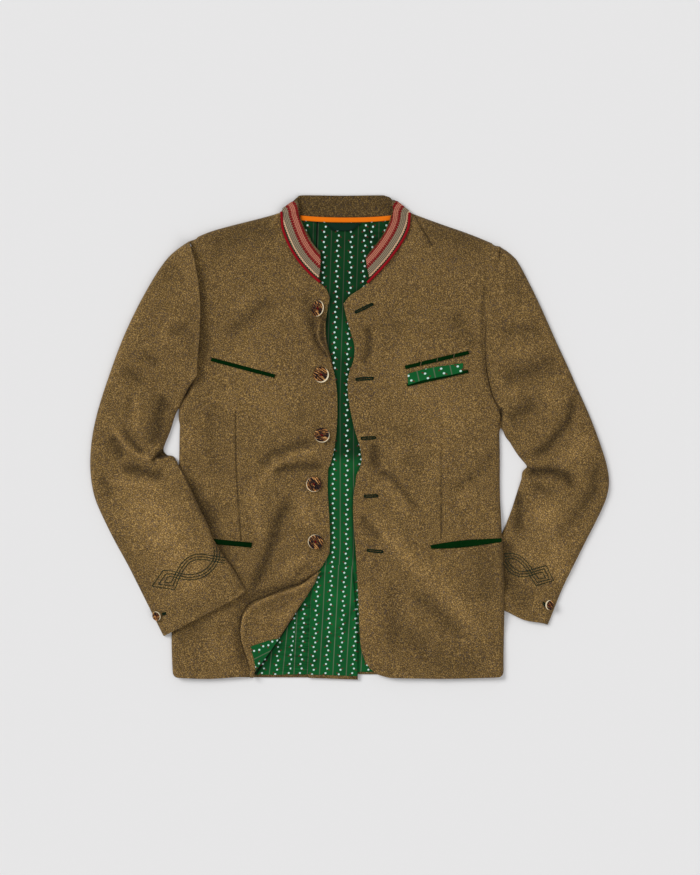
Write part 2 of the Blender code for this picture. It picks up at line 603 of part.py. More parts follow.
# the lapped strip of the back vent: y and x of its left edge, y and x of its right edge
VENT_SECTIONS = [(-384.5, -67, -387.5, 12.5), (-340, -66, -340, 12), (-290, -64, -290, 10), (-240, -61, -240, 6),
                 (-204, -58, -204, 3)]  # fmt: skip
VENT_CLOTH = 1.3
VENT_LINING = 0.8
VENT_SLOPE = 34.0  # above the loden the lining comes down onto the back's lining over this length


def vent_plan(sections, rows):
    left = spaced([(x, y) for y, x, _, _ in sections], rows)
    right = spaced([(x, y) for _, _, y, x in sections], rows)
    return [[a.lerp(b, t / 4) for t in range(5)] for a, b in zip(left, right)]


def vent():
    """The lapped half of the back vent, seen from inside: loden, with its lining on top."""
    under = LINING_UNDER + LINING + SEAM
    laid("vent_lap", vent_plan(VENT_SECTIONS[:-1], 6), under, VENT_CLOTH, None, LODEN_FINISH)
    plan = vent_plan(VENT_SECTIONS, 15)
    plan[0] = [p + Vector((0, 5.5)) for p in plan[0]]
    lower, upper = [], []
    for row in plan:
        down = [ease((p.y - VENT_SECTIONS[-1][0]) / VENT_SLOPE + 1) for p in row]
        low = [Vector((p.x, p.y, under + (VENT_CLOTH + 0.3) * (1 - d))) for p, d in zip(row, down)]
        lower.append(low)
        upper.append([p + Vector((0, 0, VENT_LINING * (1 - 0.4 * d))) for p, d in zip(low, down)])
    slab("vent_lining", upper, lower, LINING_FINISH)


# ---------------------------------------------------------------- the turned-back corner


def turnback(panel, below):
    """The lower corner of the right front, turned back over the panel, with a rolled lip along the fold."""
    upper, lower = [], []
    for x0, y0, x1, y1 in TURNBACK_SECTIONS:
        start, end = Vector((x0, y0)), Vector((x1, y1))
        width, along = (end - start).length, (end - start).normalized()
        lip = min(TURNBACK_LIP, width * 0.4)
        beyond = [lip + (width - lip) * t for t in (0.2, 0.4, 0.6, 0.8, 1.0)]
        high_row, low_row = [], []
        for c, (s, s_low) in enumerate(zip([*LIP_UPPER, *beyond], [*LIP_LOWER, *beyond])):
            p = start + along * (s * lip if c < 4 else s)
            q = start + along * (s_low * lip if c < 4 else s_low)
            full = max(panel.near(p.x, p.y, 3.0), PANEL_TOP) + 0.5 + TURNBACK_CLOTH
            share = LIP_RISE[c] if c < 4 else 1.0
            high_row.append(Vector((p.x, p.y, LIP_UNDER + (full - LIP_UNDER) * share)))
            rests = max(panel.near(q.x, q.y, 3.0), PANEL_TOP) + 0.5
            low_row.append(Vector((q.x, q.y, LIP_UNDER if c < 3 else rests)))
        upper.append(high_row)
        lower.append(low_row)
    settle([upper, lower], below, 0.4, margin=0.0, spacing=3.0)
    return slab("facing_turnback", upper, lower, LODEN_FINISH)


def turnback_lining(turned):
    """The lining of the turned-back corner, between the facing and the hem."""
    ground = Surface(turned)
    lower = []
    for n in range(LINING_FROM, len(TURNBACK_SECTIONS) - 1):
        a, b, c, d = TURNBACK_SECTIONS[n]
        start, end = Vector((a, b)), Vector((c, d))
        along, width = (end - start).normalized(), (end - start).length
        first, last = 2.4, max(width - HEM_TURNING, 4.2)
        low = []
        for k in range(6):
            p = start + along * (first + (last - first) * k / 5)
            low.append(Vector((p.x, p.y, ground.height(p.x, p.y) + 0.3)))
        lower.append(low)
    settle([lower], ground, 0.35, margin=0.0, spacing=3.0)
    upper = [[p + Vector((0, 0, LINING)) for p in row] for row in lower]
    return slab("lining_turnback", upper, lower, LINING_FINISH)


# ---------------------------------------------------------------- sleeves


def sleeve_plan(sections, between):
    """Plane sections of a sleeve, in step with its table: outer edge, inner edge, armhole's share, rise."""
    rows = []
    dense_out = curve_through([s[:2] for s in sections])
    dense_in = curve_through([s[2:4] for s in sections])
    dense_rest = curve_through([s[4:6] for s in sections])
    for i in range(between + 1):
        k = round(i * (len(dense_out) - 1) / between)
        rows.append((dense_out[k], dense_in[k], max(0.0, dense_rest[k].x), dense_rest[k].y))
    return rows


def armhole_bow(armhole, t):
    """How far the armhole's curve lies off its chord, t of the way from the shoulder to the armpit."""
    line = spaced(armhole[::-1], 40)
    place = t * 40
    k = min(int(place), 39)
    point = line[k].lerp(line[k + 1], place - k)
    return point - line[0].lerp(line[-1], t)


def sleeve(name, sections, armhole, folds, left_side, ground, between, below=None, cap=None):
    """A sleeve of two cut pieces: the top sleeve arches from edge to edge, the under sleeve lies flat."""
    side = 1 if left_side else -1
    rows = sleeve_plan(sections, between)
    angles = [math.radians(a) for a in reversed(ROLL_ANGLES)]
    out_normals = outward([r[0] for r in rows], -side)
    in_normals = outward([r[1] for r in rows], side)
    top_outer, top_inner, under = [], [], []
    for i, (outer, inner, bow, rise) in enumerate(rows):
        push = Vector((side * ARMHOLE_SEAM, 0)) * (1.0 if i == 0 else 0.7)
        chord, rolled = inner - outer, ease(i / 2.0)
        edge_share = ROLL / chord.length

        def bowed(t):
            return outer + chord * t + armhole_bow(armhole, t) * bow + push

        # at the armhole the sleeve follows the seam, and further down its sides round off squarely
        ends = (outer + push, inner + push)
        insets = [bowed(t).lerp(end - normal * ROLL, rolled) for t, end, normal in
                  ((edge_share, ends[0], out_normals[i]), (1 - edge_share, ends[1], in_normals[i]))]  # fmt: skip

        def interior(f):
            t = edge_share + (1 - 2 * edge_share) * f
            shift = (insets[0] - bowed(edge_share)).lerp(insets[1] - bowed(1 - edge_share), f)
            return bowed(t) + shift

        def ring(e, a, thin):
            return insets[e] + (ends[e] - insets[e]) * math.cos(a) * (1 - thin / ROLL)

        columns = [(ring(0, a, 0), ring(0, a, SLEEVE_CLOTH), math.sin(a), 0.0) for a in angles]
        columns += [(interior(k / 6), interior(k / 6), 1.0, k / 6) for k in range(7)]
        columns += [(ring(1, a, 0), ring(1, a, SLEEVE_CLOTH * rolled),
                     1 - rolled * (1 - math.sin(a)), 1.0) for a in reversed(angles)]  # fmt: skip
        outer_row, inner_row = [], []
        for p, q, share, f in columns:
            full = rise + fold_rise(folds, p.x, p.y) * math.sin(math.pi * (0.06 + 0.88 * f)) ** 0.5
            if cap:
                full = min(full, cap(p.x, p.y))
            outer_row.append(Vector((p.x, p.y, ground(p.x, p.y) + full * share)))
            inside = min(full - SLEEVE_CLOTH, LODEN + MOST_SPACE)
            inner_row.append(Vector((q.x, q.y, ground(q.x, q.y) + inside * share)))
        top_outer.append(outer_row)
        top_inner.append(inner_row)
        inset = (SLEEVE_CLOTH + UNDER_SLEEVE_INSET) / ROLL
        spots = [ends[0].lerp(insets[0], inset), *(interior(f) for f in (0.08, 0.36, 0.64, 0.92)),
                 ends[1].lerp(insets[1], inset)]  # fmt: skip
        under.append([Vector((q.x, q.y, ground(q.x, q.y))) for q in spots])
    if not left_side:
        top_outer, top_inner, under = ([row[::-1] for row in g] for g in (top_outer, top_inner, under))
    if below:
        settle([under], below, 0.4)
        under_top = [[p + Vector((0, 0, LODEN)) for p in row] for row in under]
        lying = slab(name + "_under", under_top, under, LODEN_FINISH)
        settle([top_outer, top_inner], below, 0.4)
    else:
        rim = [row[0] for row in under] + under[-1][1:] + [row[-1] for row in under[-2::-1]] + under[0][-2:0:-1]
        lying = flat_cut(name + "_under", rim, LODEN, LODEN_FINISH)
    settle([top_inner], Surface(lying), 0.35, margin=0.0, spacing=4.0, carried=[top_outer])
    return slab(name + "_top", top_outer, top_inner, LODEN_FINISH)


def left_cap(x, y):
    """The most height the left sleeve may have where the body lies on it."""
    free = ease((x - 253.0) / 24.0)
    above = ease((y + 125.0) / 30.0)
    return CUFF_TOP + 30.0 * max(free, above)


def right_ground(surface):
    """What the right sleeve lies on: the surface, and the body, bridged over its edge by stiff cloth."""

    def height(x, y):
        best = 0.0
        for dx in (-9, -6, -3, 0, 3, 6, 9, 13, 18):
            for dy in (-6, 0, 6):
                found = surface.height(x + dx, y + dy)
                if found > 0.5:
                    best = max(best, found + 0.7 - 0.55 * max(0.0, math.hypot(dx, dy) - 3))
        return best

    return height


# ---------------------------------------------------------------- the collar and its trims


def collar_grid(columns):
    rows = []
    for sx, sy, sz, tx, ty, tz in COLLAR_SECTIONS:
        seam, top = Vector((sx, sy, sz)), Vector((tx, ty, tz))
        rows.append([seam.lerp(top, c / columns) for c in range(columns + 1)])
    return rows


def collar():
    return sheet("collar", collar_grid(4), COLLAR_CLOTH, LODEN_FINISH)


def ribbon(name, rows):
    """The woven band on the outer face of the collar's front, made from the collar's own points."""
    grid = [[row[0].lerp(row[-1], 0.03 + 0.9 * c / 4) for c in range(5)] for row in rows]
    normal = []
    for i, row in enumerate(grid):
        along = grid[min(i + 1, len(grid) - 1)][2] - grid[max(i - 1, 0)][2]
        up = along.cross(row[-1] - row[0]).normalized()
        normal.append(up if up.z > 0 else -up)
    lower = [[p + n * 0.45 for p in row] for row, n in zip(grid, normal)]
    upper = [[p + n * (0.45 + RIBBON_CLOTH) for p in row] for row, n in zip(grid, normal)]
    if (grid[1][0] - grid[0][0]).cross(grid[0][-1] - grid[0][0]).z > 0:
        upper, lower = upper[::-1], lower[::-1]
    return slab(name, upper, lower, RIBBON_FINISH)


def piping(name, points):
    """A red cord in the neck seam between a front and the collar."""
    made = bpy.data.curves.new(name, "CURVE")
    made.dimensions = "3D"
    made.bevel_depth = PIPING_RADIUS * MM
    made.bevel_resolution = 2
    made.use_fill_caps = True
    line = made.splines.new("POLY")
    line.points.add(len(points) - 1)
    for place, p in zip(line.points, points):
        place.co = (*(p * MM), 1)
    cord = bpy.data.objects.new(name, made)
    bpy.context.scene.collection.objects.link(cord)
    give_finish(cord, PIPING_FINISH)
    return cord


def neck_trims(fronts, band):
    grid = collar_grid(4)
    ribbon("ribbon_right", grid[:RIBBON_ROWS])
    ribbon("ribbon_left", grid[-RIBBON_ROWS:])
    seam = Surface(*fronts, band)
    for name, neckline, side in (("piping_right", NECKLINE_RIGHT, 1), ("piping_left", NECKLINE_LEFT, -1)):
        line = spaced(neckline, 14)
        line = moved(line, outward(line, side), 1.2)
        high = [seam.near(p.x, p.y, PIPING_RADIUS) + PIPING_RADIUS + 0.5 for p in line]
        high = [max(high[max(i - 1, 0) : i + 2]) for i in range(len(high))]
        piping(name, [Vector((p.x, p.y, z)) for p, z in zip(line, high)][:-1])


def tape_and_hanger():
    """The orange tape over the back neck seam, and the plain tab below it."""
    z = LINING_UNDER + LINING + SEAM
    middle = [(-80, 350), (-45, 348.6), (-7, 348), (32, 348.6), (68, 350)]
    line = spaced(middle, 10)
    upper = [[Vector((p.x, p.y + side * 4.6, z + 0.9)) for p in line] for side in (-1, 1)]
    lower = [[p - Vector((0, 0, 0.9)) for p in row] for row in upper]
    slab("neck_tape", upper, lower, TAPE_FINISH)
    sections = [(343.2 - 0.2, -39, 18), (337, -34, 11), (331, -29, 3)]
    up = [[Vector((a + (b - a) * k / 4, y, z + 0.9)) for k in range(5)] for y, a, b in reversed(sections)]
    low = [[p - Vector((0, 0, 0.9)) for p in row] for row in up]
    slab("neck_tab", up, low, TAB_FINISH)


# ---------------------------------------------------------------- buttons, welts and the pocket square


def button(name, x, y, radius, height, surface):
    """A round slice of antler with eased edges, square to the cloth it is sewn to."""
    foot, up = surface.plane(x, y, radius)
    bpy.ops.mesh.primitive_cylinder_add(vertices=18, radius=radius * MM, depth=height * MM)
    made = bpy.context.object
    made.name = name
    made.data.name = name
    give_finish(made, ANTLER_FINISH)
    made.rotation_mode = "QUATERNION"
    made.rotation_quaternion = up.to_track_quat("Z", "Y")
    made.location = (foot + up * height / 2) * MM
    eased = made.modifiers.new("eased", "BEVEL")
    eased.width = 0.9 * MM
    eased.segments = 1
    made.data.shade_smooth()
    made.data.set_sharp_from_angle(angle=math.radians(50))
    return made


def lying_strip(name, line, half_widths, height, surface, finish, across=2):
    """A strip of cloth on a panel: its sections follow the panel's points, moved out."""
    upper, lower = [], []
    side = outward(line, -1)
    for p, n, half in zip(line, side, half_widths):
        high, low = [], []
        for k in range(across + 1):
            s = 1 - 2 * k / across
            q = p + n * half * s
            z = max(surface.height(q.x + dx, q.y + dy) for dx in (-2, 0, 2) for dy in (-2, 0, 2)) + 0.35
            high.append(Vector((q.x, q.y, z + height * (1 - 0.45 * s * s))))
            low.append(Vector((q.x, q.y, z)))
        upper.append(high)
        lower.append(low)
    return slab(name, upper, lower, finish)


def welts(panels):
    for name, x0, y0, x1, y1, end_half, mid_half, panel in WELTS:
        line = spaced([(x0, y0), ((x0 + x1) / 2, (y0 + y1) / 2), (x1, y1)], 12)
        halves = [end_half + (mid_half - end_half) * math.sin(math.pi * i / 12) for i in range(13)]
        lying_strip(name, line[::-1], halves, WELT_HEIGHT, Surface(panels[panel]), VELVET_FINISH)


def pocket_square(panel):
    """The folded pocket square that shows above the left chest welt."""
    surface = Surface(panel)
    low_line = spaced([s[:2] for s in POCKET_SQUARE], 8)
    top_line = spaced([s[2:] for s in POCKET_SQUARE], 8)
    upper, lower = [], []
    for a, b in zip(low_line, top_line):
        high, low = [], []
        for k in range(3):
            q = a.lerp(b, 0.12 + 0.88 * k / 2)
            z = max(surface.height(q.x + dx, q.y + dy) for dx in (-2, 0, 2) for dy in (-2, 0, 2)) + 0.35
            high.append(Vector((q.x, q.y, z + 1.2)))
            low.append(Vector((q.x, q.y, z)))
        upper.append(high)
        lower.append(low)
    return slab("pocket_square", upper[::-1], lower[::-1], LINING_FINISH)


def main():
    for old in list(bpy.data.objects):
        bpy.data.objects.remove(old)
    arm_left = sleeve("sleeve_left", SLEEVE_LEFT_SECTIONS, ARMHOLE_LEFT, SLEEVE_LEFT_FOLDS, True,
                      lambda x, y: 0.0, 31, cap=left_cap)  # fmt: skip
    under_body = Surface(arm_left)
    backs = [back_half("back_right", False, None), back_half("back_left", True, under_body)]
    inside = back_lining(Surface(*backs, arm_left))
    vent()
    vent_over = bpy.data.objects["vent_lining"]
    inner_layers = Surface(inside, vent_over, arm_left)
    right, left = front_right(inner_layers), front_left(inner_layers)
    turned = turnback(Surface(right), Surface(right, vent_over))
    turned_lining = turnback_lining(turned)
    welts({"front_right": right, "front_left": left})
    pocket_square(left)
    body = Surface(right, turned, turned_lining, bpy.data.objects["welt_hip_right"])
    arm_right = sleeve("sleeve_right", SLEEVE_RIGHT_SECTIONS, ARMHOLE_RIGHT, SLEEVE_RIGHT_FOLDS, False,
                       right_ground(body), 31, below=body)  # fmt: skip
    band = collar()
    neck_trims([right, left], band)
    tape_and_hanger()
    for name, x, y in BUTTONS:
        button(name, x, y, BUTTON_RADIUS, BUTTON_HEIGHT, Surface(right))
    for (name, x, y), arm in zip(CUFF_BUTTONS, (arm_right, arm_left)):
        button(name, x, y, CUFF_BUTTON_RADIUS, CUFF_BUTTON_HEIGHT, Surface(arm))


main()
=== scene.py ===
"""A Tyrolean loden jacket laid flat on its back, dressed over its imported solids."""

import math
from contextlib import contextmanager

import bmesh
import bpy
import numpy as np
from mathutils import Matrix, Vector
from mathutils.bvhtree import BVHTree


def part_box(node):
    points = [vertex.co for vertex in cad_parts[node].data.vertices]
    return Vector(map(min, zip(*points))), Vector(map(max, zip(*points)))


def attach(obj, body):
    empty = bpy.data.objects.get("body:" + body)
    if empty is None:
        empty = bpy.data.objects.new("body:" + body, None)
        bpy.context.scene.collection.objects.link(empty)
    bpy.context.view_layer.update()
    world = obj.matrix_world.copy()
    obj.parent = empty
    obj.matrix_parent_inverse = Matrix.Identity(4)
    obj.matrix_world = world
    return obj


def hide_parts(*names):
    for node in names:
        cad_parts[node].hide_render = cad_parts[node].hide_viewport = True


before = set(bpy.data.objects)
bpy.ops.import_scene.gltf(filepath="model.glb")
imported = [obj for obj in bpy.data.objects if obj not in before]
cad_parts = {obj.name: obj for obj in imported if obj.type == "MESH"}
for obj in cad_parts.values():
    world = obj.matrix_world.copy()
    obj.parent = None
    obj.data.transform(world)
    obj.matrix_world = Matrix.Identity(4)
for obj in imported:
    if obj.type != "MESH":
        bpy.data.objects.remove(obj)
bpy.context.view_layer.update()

MM = 0.001


# ---------------------------------------------------------------- loden cloth
# Fulled wool, spun from fibres dyed ochre, brown, olive and a little violet grey before spinning,
# so the colour is a mixture that shows as fine flecks. It is matt, with a short nap.


class Value:
    """A number, colour or vector on its way through a material's nodes."""

    def __init__(self, finish, socket):
        self.finish, self.socket = finish, socket

    def math(self, operation, *others):
        inputs = dict(zip(("i0", "i1", "i2"), (self, *others)))
        return self.finish.node("Math", {"operation": operation}, **inputs)

    def __add__(self, other):
        return self.math("ADD", other)

    def __sub__(self, other):
        return self.math("SUBTRACT", other)

    def __rsub__(self, other):
        return self.finish.node("Math", {"operation": "SUBTRACT"}, i0=other, i1=self)

    def __mul__(self, other):
        return self.math("MULTIPLY", other)

    def __truediv__(self, other):
        return self.math("DIVIDE", other)

    def __mod__(self, other):
        return self.math("FLOORED_MODULO", other)

    def __abs__(self):
        return self.math("ABSOLUTE")

    __radd__, __rmul__ = __add__, __mul__

    def between(self, low, high):
        """0 up to low, 1 from high on, and smooth between them."""
        settings = {"interpolation_type": "SMOOTHSTEP"}
        return self.finish.node("MapRange", settings, Value=self, From_Min=low, From_Max=high)


class Finish:
    """A procedural material, read in millimetres from the object's own coordinates."""

    def __init__(self, name, roughness, **fixed):
        self.material = bpy.data.materials.new(name)
        self.material.use_nodes = True
        self.tree = self.material.node_tree
        self.shader = self.tree.nodes["Principled BSDF"]
        self.shader.inputs["Roughness"].default_value = roughness
        for socket, value in fixed.items():
            self.shader.inputs[socket.replace("_", " ")].default_value = value
        self.mm = self.scaled(self.node("TexCoord", out="Object"), 1000.0)

    def node(self, kind, settings=None, out=0, **sockets):
        """A node by its type, with its settings, and its sockets by name, or by number as i0, i1 and so on."""
        made = self.tree.nodes.new("ShaderNode" + kind)
        for key, value in (settings or {}).items():
            if key == "stops":
                while len(made.color_ramp.elements) < len(value):
                    made.color_ramp.elements.new(0.5)
                for element, (place, colour) in zip(made.color_ramp.elements, value):
                    element.position, element.color = place, (*colour, 1)
            else:
                setattr(made, key, value)
        for key, value in sockets.items():
            socket = made.inputs[int(key[1:]) if key[1:].isdigit() else key.replace("_", " ")]
            if isinstance(value, Value):
                self.tree.links.new(value.socket, socket)
            else:
                socket.default_value = (*value, 1) if socket.type == "RGBA" else value
        return Value(self, made.outputs[out])

    def noise(self, per_mm, detail=2.0, where=None, **sockets):
        return self.node("TexNoise", Vector=where or self.mm, Scale=per_mm, Detail=detail, **sockets)

    def mix(self, factor, a, b):
        return self.node("Mix", {"data_type": "RGBA"}, out=2, i0=factor, i6=a, i7=b)

    def scaled(self, vector, by):
        return self.node("VectorMath", {"operation": "SCALE"}, i0=vector, Scale=by)

    def stretched(self, vector, *by):
        return self.node("VectorMath", {"operation": "MULTIPLY"}, i0=vector, i1=by)

    def nap(self, least, most):
        """Painted fold shade as a factor on the colour: least in a deep fold and most on a crest."""
        nap = self.node("Attribute", {"attribute_name": "nap"}, out=2)
        return self.node("MapRange", Value=nap, From_Min=-1.0, From_Max=1.0, To_Min=least, To_Max=most)

    def ramp(self, value, *stops):
        return self.node("ValToRGB", {"stops": stops}, Fac=value)

    def turned(self, degrees, origin=(0, 0)):
        """The object's millimetres, turned about Z and counted from another origin."""
        angle = math.radians(degrees)
        back = Matrix.Rotation(angle, 3, "Z") @ Vector((-origin[0], -origin[1], 0))
        settings = {"vector_type": "POINT"}
        return self.node("Mapping", settings, Vector=self.mm, Location=back, Rotation=(0, 0, angle))

    def split(self, vector):
        made = self.node("SeparateXYZ", Vector=vector)
        return [Value(self, socket) for socket in made.socket.node.outputs]

    def surface(self, colour, height=None, depth=0.3, roughness=None):
        """Ends the material: its colour, the relief in millimetres and what roughness varies by."""
        self.tree.links.new(colour.socket, self.shader.inputs["Base Color"])
        if height is not None:
            bump = self.node("Bump", Height=height, Strength=1.0, Distance=depth * MM)
            self.tree.links.new(bump.socket, self.shader.inputs["Normal"])
        if roughness is not None:
            self.tree.links.new(roughness.socket, self.shader.inputs["Roughness"])
        return self.material


OLIVE, UMBER = (0.172, 0.101, 0.029), (0.054, 0.030, 0.0095)
OCHRE, SLATE = (0.40, 0.252, 0.084), (0.066, 0.049, 0.041)


def lit(colour, light):
    return [channel * light for channel in colour]


# shade scales the whole colour: below 1 it is painted shade, above 1 painted light
def loden(name, shade=1.0, painted_shading=True):
    cloth = Finish(name, 0.96, Specular_IOR_Level=0.12, Sheen_Weight=0.03, Sheen_Roughness=0.6)
    fibres = cloth.noise(0.88, 1.5, Roughness=0.6)
    flecks = cloth.noise(0.66, 1.0, cloth.turned(37, (311, 97)))
    greys = cloth.noise(0.54, 1.0, cloth.turned(-21, (57, 803)))
    mottle = cloth.noise(0.09, 2.0, cloth.turned(63, (411, 503)))
    colour = cloth.mix(fibres.between(0.39, 0.58), lit(UMBER, shade), lit(OLIVE, shade))
    colour = cloth.mix(flecks.between(0.49, 0.665) * 0.88, colour, lit(OCHRE, shade))
    colour = cloth.mix(greys.between(0.51, 0.66) * 0.75, colour, lit(SLATE, shade))
    mottle_and_fold_shade = mottle.between(0.25, 0.75) * 0.24 + 0.88
    if painted_shading:  # painted fold shade: darker in the folds and paler on the crests, from the fold heights
        mottle_and_fold_shade = mottle_and_fold_shade * cloth.nap(0.3, 1.7)
    over_the_twill = cloth.split(cloth.turned(27))[0]
    twill = (over_the_twill * 4.2).math("SINE") * 0.2
    return cloth.surface(cloth.scaled(colour, mottle_and_fold_shade), fibres + flecks * 0.6 + twill, 0.45)


# ---------------------------------------------------------------- front panels
# Loden with canvas and facing behind it, so the fronts fall in few soft folds. Their free edges curl a
# little, and the left front lies over the cuff at its hip. Each is cut in one piece with its dart.


def ease(t):
    t = np.clip(t, 0.0, 1.0)
    return t * t * (3 - 2 * t)


def beside(line, x, y, run_on=0.0):
    """For points in plan: how far off a line each is, how far along it, on which side, and its foot there.
    Past the line's ends the length along it runs on for a while."""
    off, along, side = np.full(len(x), 1e9), np.zeros(len(x)), np.zeros(len(x))
    foot, done = np.zeros((2, len(x))), 0.0
    for (ax, ay), (bx, by) in zip(line, line[1:]):
        length = math.dist((ax, ay), (bx, by))
        ux, uy = (bx - ax) / length, (by - ay) / length
        way = (x - ax) * ux + (y - ay) * uy
        t = np.clip(way, 0, length)
        away = np.hypot(x - ax - ux * t, y - ay - uy * t)
        closer = away < off
        before, after = 0.0 if done else run_on, run_on if (bx, by) == line[-1] else 0.0
        off = np.where(closer, away, off)
        along = np.where(closer, done + np.clip(way, -before, length + after), along)
        side = np.where(closer, np.sign((x - ax) * -uy + (y - ay) * ux), side)
        foot = np.where(closer, (ax + ux * t, ay + uy * t), foot)
        done += length
    return off, along, side, foot.T


FADE = 0.22  # the share of its length over which a fold fades out at each end


def fold_height(folds, x, y):
    """What the folds add at points in plan."""
    total = np.zeros(len(x))
    for width, height, step, *places in folds:
        line = list(zip(places[::2], places[1::2]))
        off, along, side, _ = beside(line, x, y)
        along = along / sum(math.dist(a, b) for a, b in zip(line, line[1:]))
        faded = ease(along / FADE) * ease((1 - along) / FADE)
        s = off / width
        total += faded * (height * np.exp(-(s**1.7)) + step * side * s * np.exp(-s * s) * 1.6)
    return total


WAVES = 18


def ripples(x, y, seed, size, wave):
    """The slight unevenness of cloth that has been pressed and worn: a sum of gentle waves."""
    rng = np.random.default_rng(seed)
    total = np.zeros(len(x))
    ranges = ((0, math.tau), (0, math.tau), (0.6, 1.7))
    for angle, phase, length in zip(*(rng.uniform(low, high, WAVES) for low, high in ranges)):
        k = math.tau / (wave * length)
        total += np.sin(k * (x * math.cos(angle) + y * math.sin(angle)) + phase)
    return total * size / math.sqrt(WAVES / 2)


def into_scene(name, data):
    """Puts a new object in the scene, as the only one selected."""
    made = bpy.data.objects.new(name, data)
    bpy.context.scene.collection.objects.link(made)
    bpy.ops.object.select_all(action="DESELECT")
    bpy.context.view_layer.objects.active = made
    made.select_set(True)
    return made


@contextmanager
def editing(made):
    """Opens an object's mesh and puts it back."""
    mesh = bmesh.new()
    mesh.from_mesh(made.data)
    yield mesh
    mesh.to_mesh(made.data)
    mesh.free()


CREASE, SHARP = 0.45, math.radians(52)  # how firmly a wall's edges are held, and what counts as an edge


def tailored(node, levels=3):
    """A fine copy of a solid: its wall keeps its edges, and its facets become one smooth surface."""
    cloth = into_scene(node + "_cloth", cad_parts[node].data.copy())
    cloth.data.materials.clear()
    bpy.ops.object.mode_set(mode="EDIT")
    bpy.ops.mesh.select_all(action="SELECT")
    bpy.ops.mesh.remove_doubles(threshold=0.01 * MM)
    bpy.ops.mesh.tris_convert_to_quads(face_threshold=0.7, shape_threshold=1.2)
    bpy.ops.mesh.customdata_custom_splitnormals_clear()
    bpy.ops.object.mode_set(mode="OBJECT")
    with editing(cloth) as mesh:
        creased, pinned = mesh.edges.layers.float.new("crease_edge"), mesh.verts.layers.float.new("crease_vert")
        for edge in mesh.edges:
            if len(edge.link_faces) == 2 and edge.calc_face_angle(0) > SHARP:
                edge[creased] = CREASE
        for vert in mesh.verts:  # a corner of the rim is held the more, the more it turns
            rims = [edge.other_vert(vert).co.xy - vert.co.xy for edge in vert.link_edges if edge[creased]]
            rims = [way for way in rims if way.length > 0.4 * MM]
            if len(rims) == 2:
                turn = math.degrees(rims[0].angle(-rims[1]))
                vert[pinned] = max(0.0, min(1.0, (turn - 13) / 14))
    finer = cloth.modifiers.new("finer", "SUBSURF")
    finer.levels = finer.render_levels = levels
    finer.use_limit_surface = False
    bpy.ops.object.modifier_apply(modifier=finer.name)
    cloth.data.shade_smooth()
    return cloth


def plan_of(cloth):
    points = np.zeros(len(cloth.data.vertices) * 3)
    cloth.data.vertices.foreach_get("co", points)
    return points.reshape(-1, 3) / MM


def reshape(cloth, points):
    cloth.data.vertices.foreach_set("co", (points * MM).ravel())
    cloth.data.update()
    return cloth


def coax(cloth, *moves):
    """Draws places of a cloth aside: each move is a place, how far round it reaches, and which way."""
    points = plan_of(cloth)
    for cx, cy, reach, dx, dy in moves:
        share = ease(1 - np.hypot(points[:, 0] - cx, points[:, 1] - cy) / reach)
        points[:, 0] += dx * share
        points[:, 1] += dy * share
    return reshape(cloth, points)


def sew_to(cloth, line, gap=1.9, reach=9.0):
    """Draws a cloth's edge up to a seam line, so that nothing shows between it and its neighbour."""
    points = plan_of(cloth)
    off, _, _, foot = beside(line, *points[:, :2].T)
    drawn = np.where(off < reach, np.maximum(off - gap * ease(1.25 - off / reach), 0.0), off)
    points[:, :2] = foot + (points[:, :2] - foot) * (drawn / np.maximum(off, 1e-6))[:, None]
    return reshape(cloth, points)


SKY = 0.2  # metres: higher than any piece


def heights(x, y, *pieces, missed=0.0):
    """How high the pieces reach at points in plan, in millimetres."""
    trees = []
    for piece in pieces:
        corners, faces = [v.co for v in piece.data.vertices], [p.vertices for p in piece.data.polygons]
        trees.append(BVHTree.FromPolygons(corners, faces))
    down, result = Vector((0, 0, -1)), np.full(len(x), missed)
    for k, (px, py) in enumerate(zip(x, y)):
        for tree in trees:
            hit = tree.ray_cast(Vector((px * MM, py * MM, SKY)), down)[0]
            if hit:
                result[k] = max(result[k], hit.z / MM)
    return result


WALL = 1.3  # millimetres that a cloth's wall keeps between its two sides
FULL_FOLD_SHADE = 3.1  # the height of a fold at which its painted fold shade is near its palest on a crest and darkest in a trough


def lay(cloth, folds, seed, ground, size=0.35, wave=58.0, free=5.0):
    """Works the folds into both sides of a cloth wall, keeps it clear of what it lies on, and stores their
    heights as painted fold shade.
    """
    mesh, points = cloth.data, plan_of(cloth)
    normals = np.zeros(len(mesh.vertices) * 3)
    mesh.vertices.foreach_get("normal", normals)
    facing = normals.reshape(-1, 3)[:, 2]
    x, y, z = points.T
    below = heights(x, y, *ground)
    above = np.maximum(z - below, 0.0)
    moved = (fold_height(folds, x, y) + ripples(x, y, seed, size, wave)) * ease(above / free)
    wall = WALL * ease(above / 4.0)
    least = np.where(facing > 0, below + 0.4 + wall, below + 0.3)
    points[:, 2] = np.where(moved < 0, np.maximum(z + moved, np.minimum(z, least)), z + moved)
    # painted fold shade: paler on crests, darker in troughs
    nap = mesh.attributes.new("nap", "FLOAT", "POINT")
    nap.data.foreach_set("value", np.tanh(fold_height(folds, x, y) / FULL_FOLD_SHADE))
    return reshape(cloth, points)


def settle(piece, solid, cloth, lift=0.0):
    """Moves a piece that is sewn to a cloth as far as the folds moved that, and by a lift."""
    points = plan_of(piece)
    before, after = (heights(points[:, 0], points[:, 1], under, missed=-1.0) for under in (solid, cloth))
    points[:, 2] += np.where((before < 0) | (after < 0), 0.0, after - before) + lift
    return reshape(piece, points)


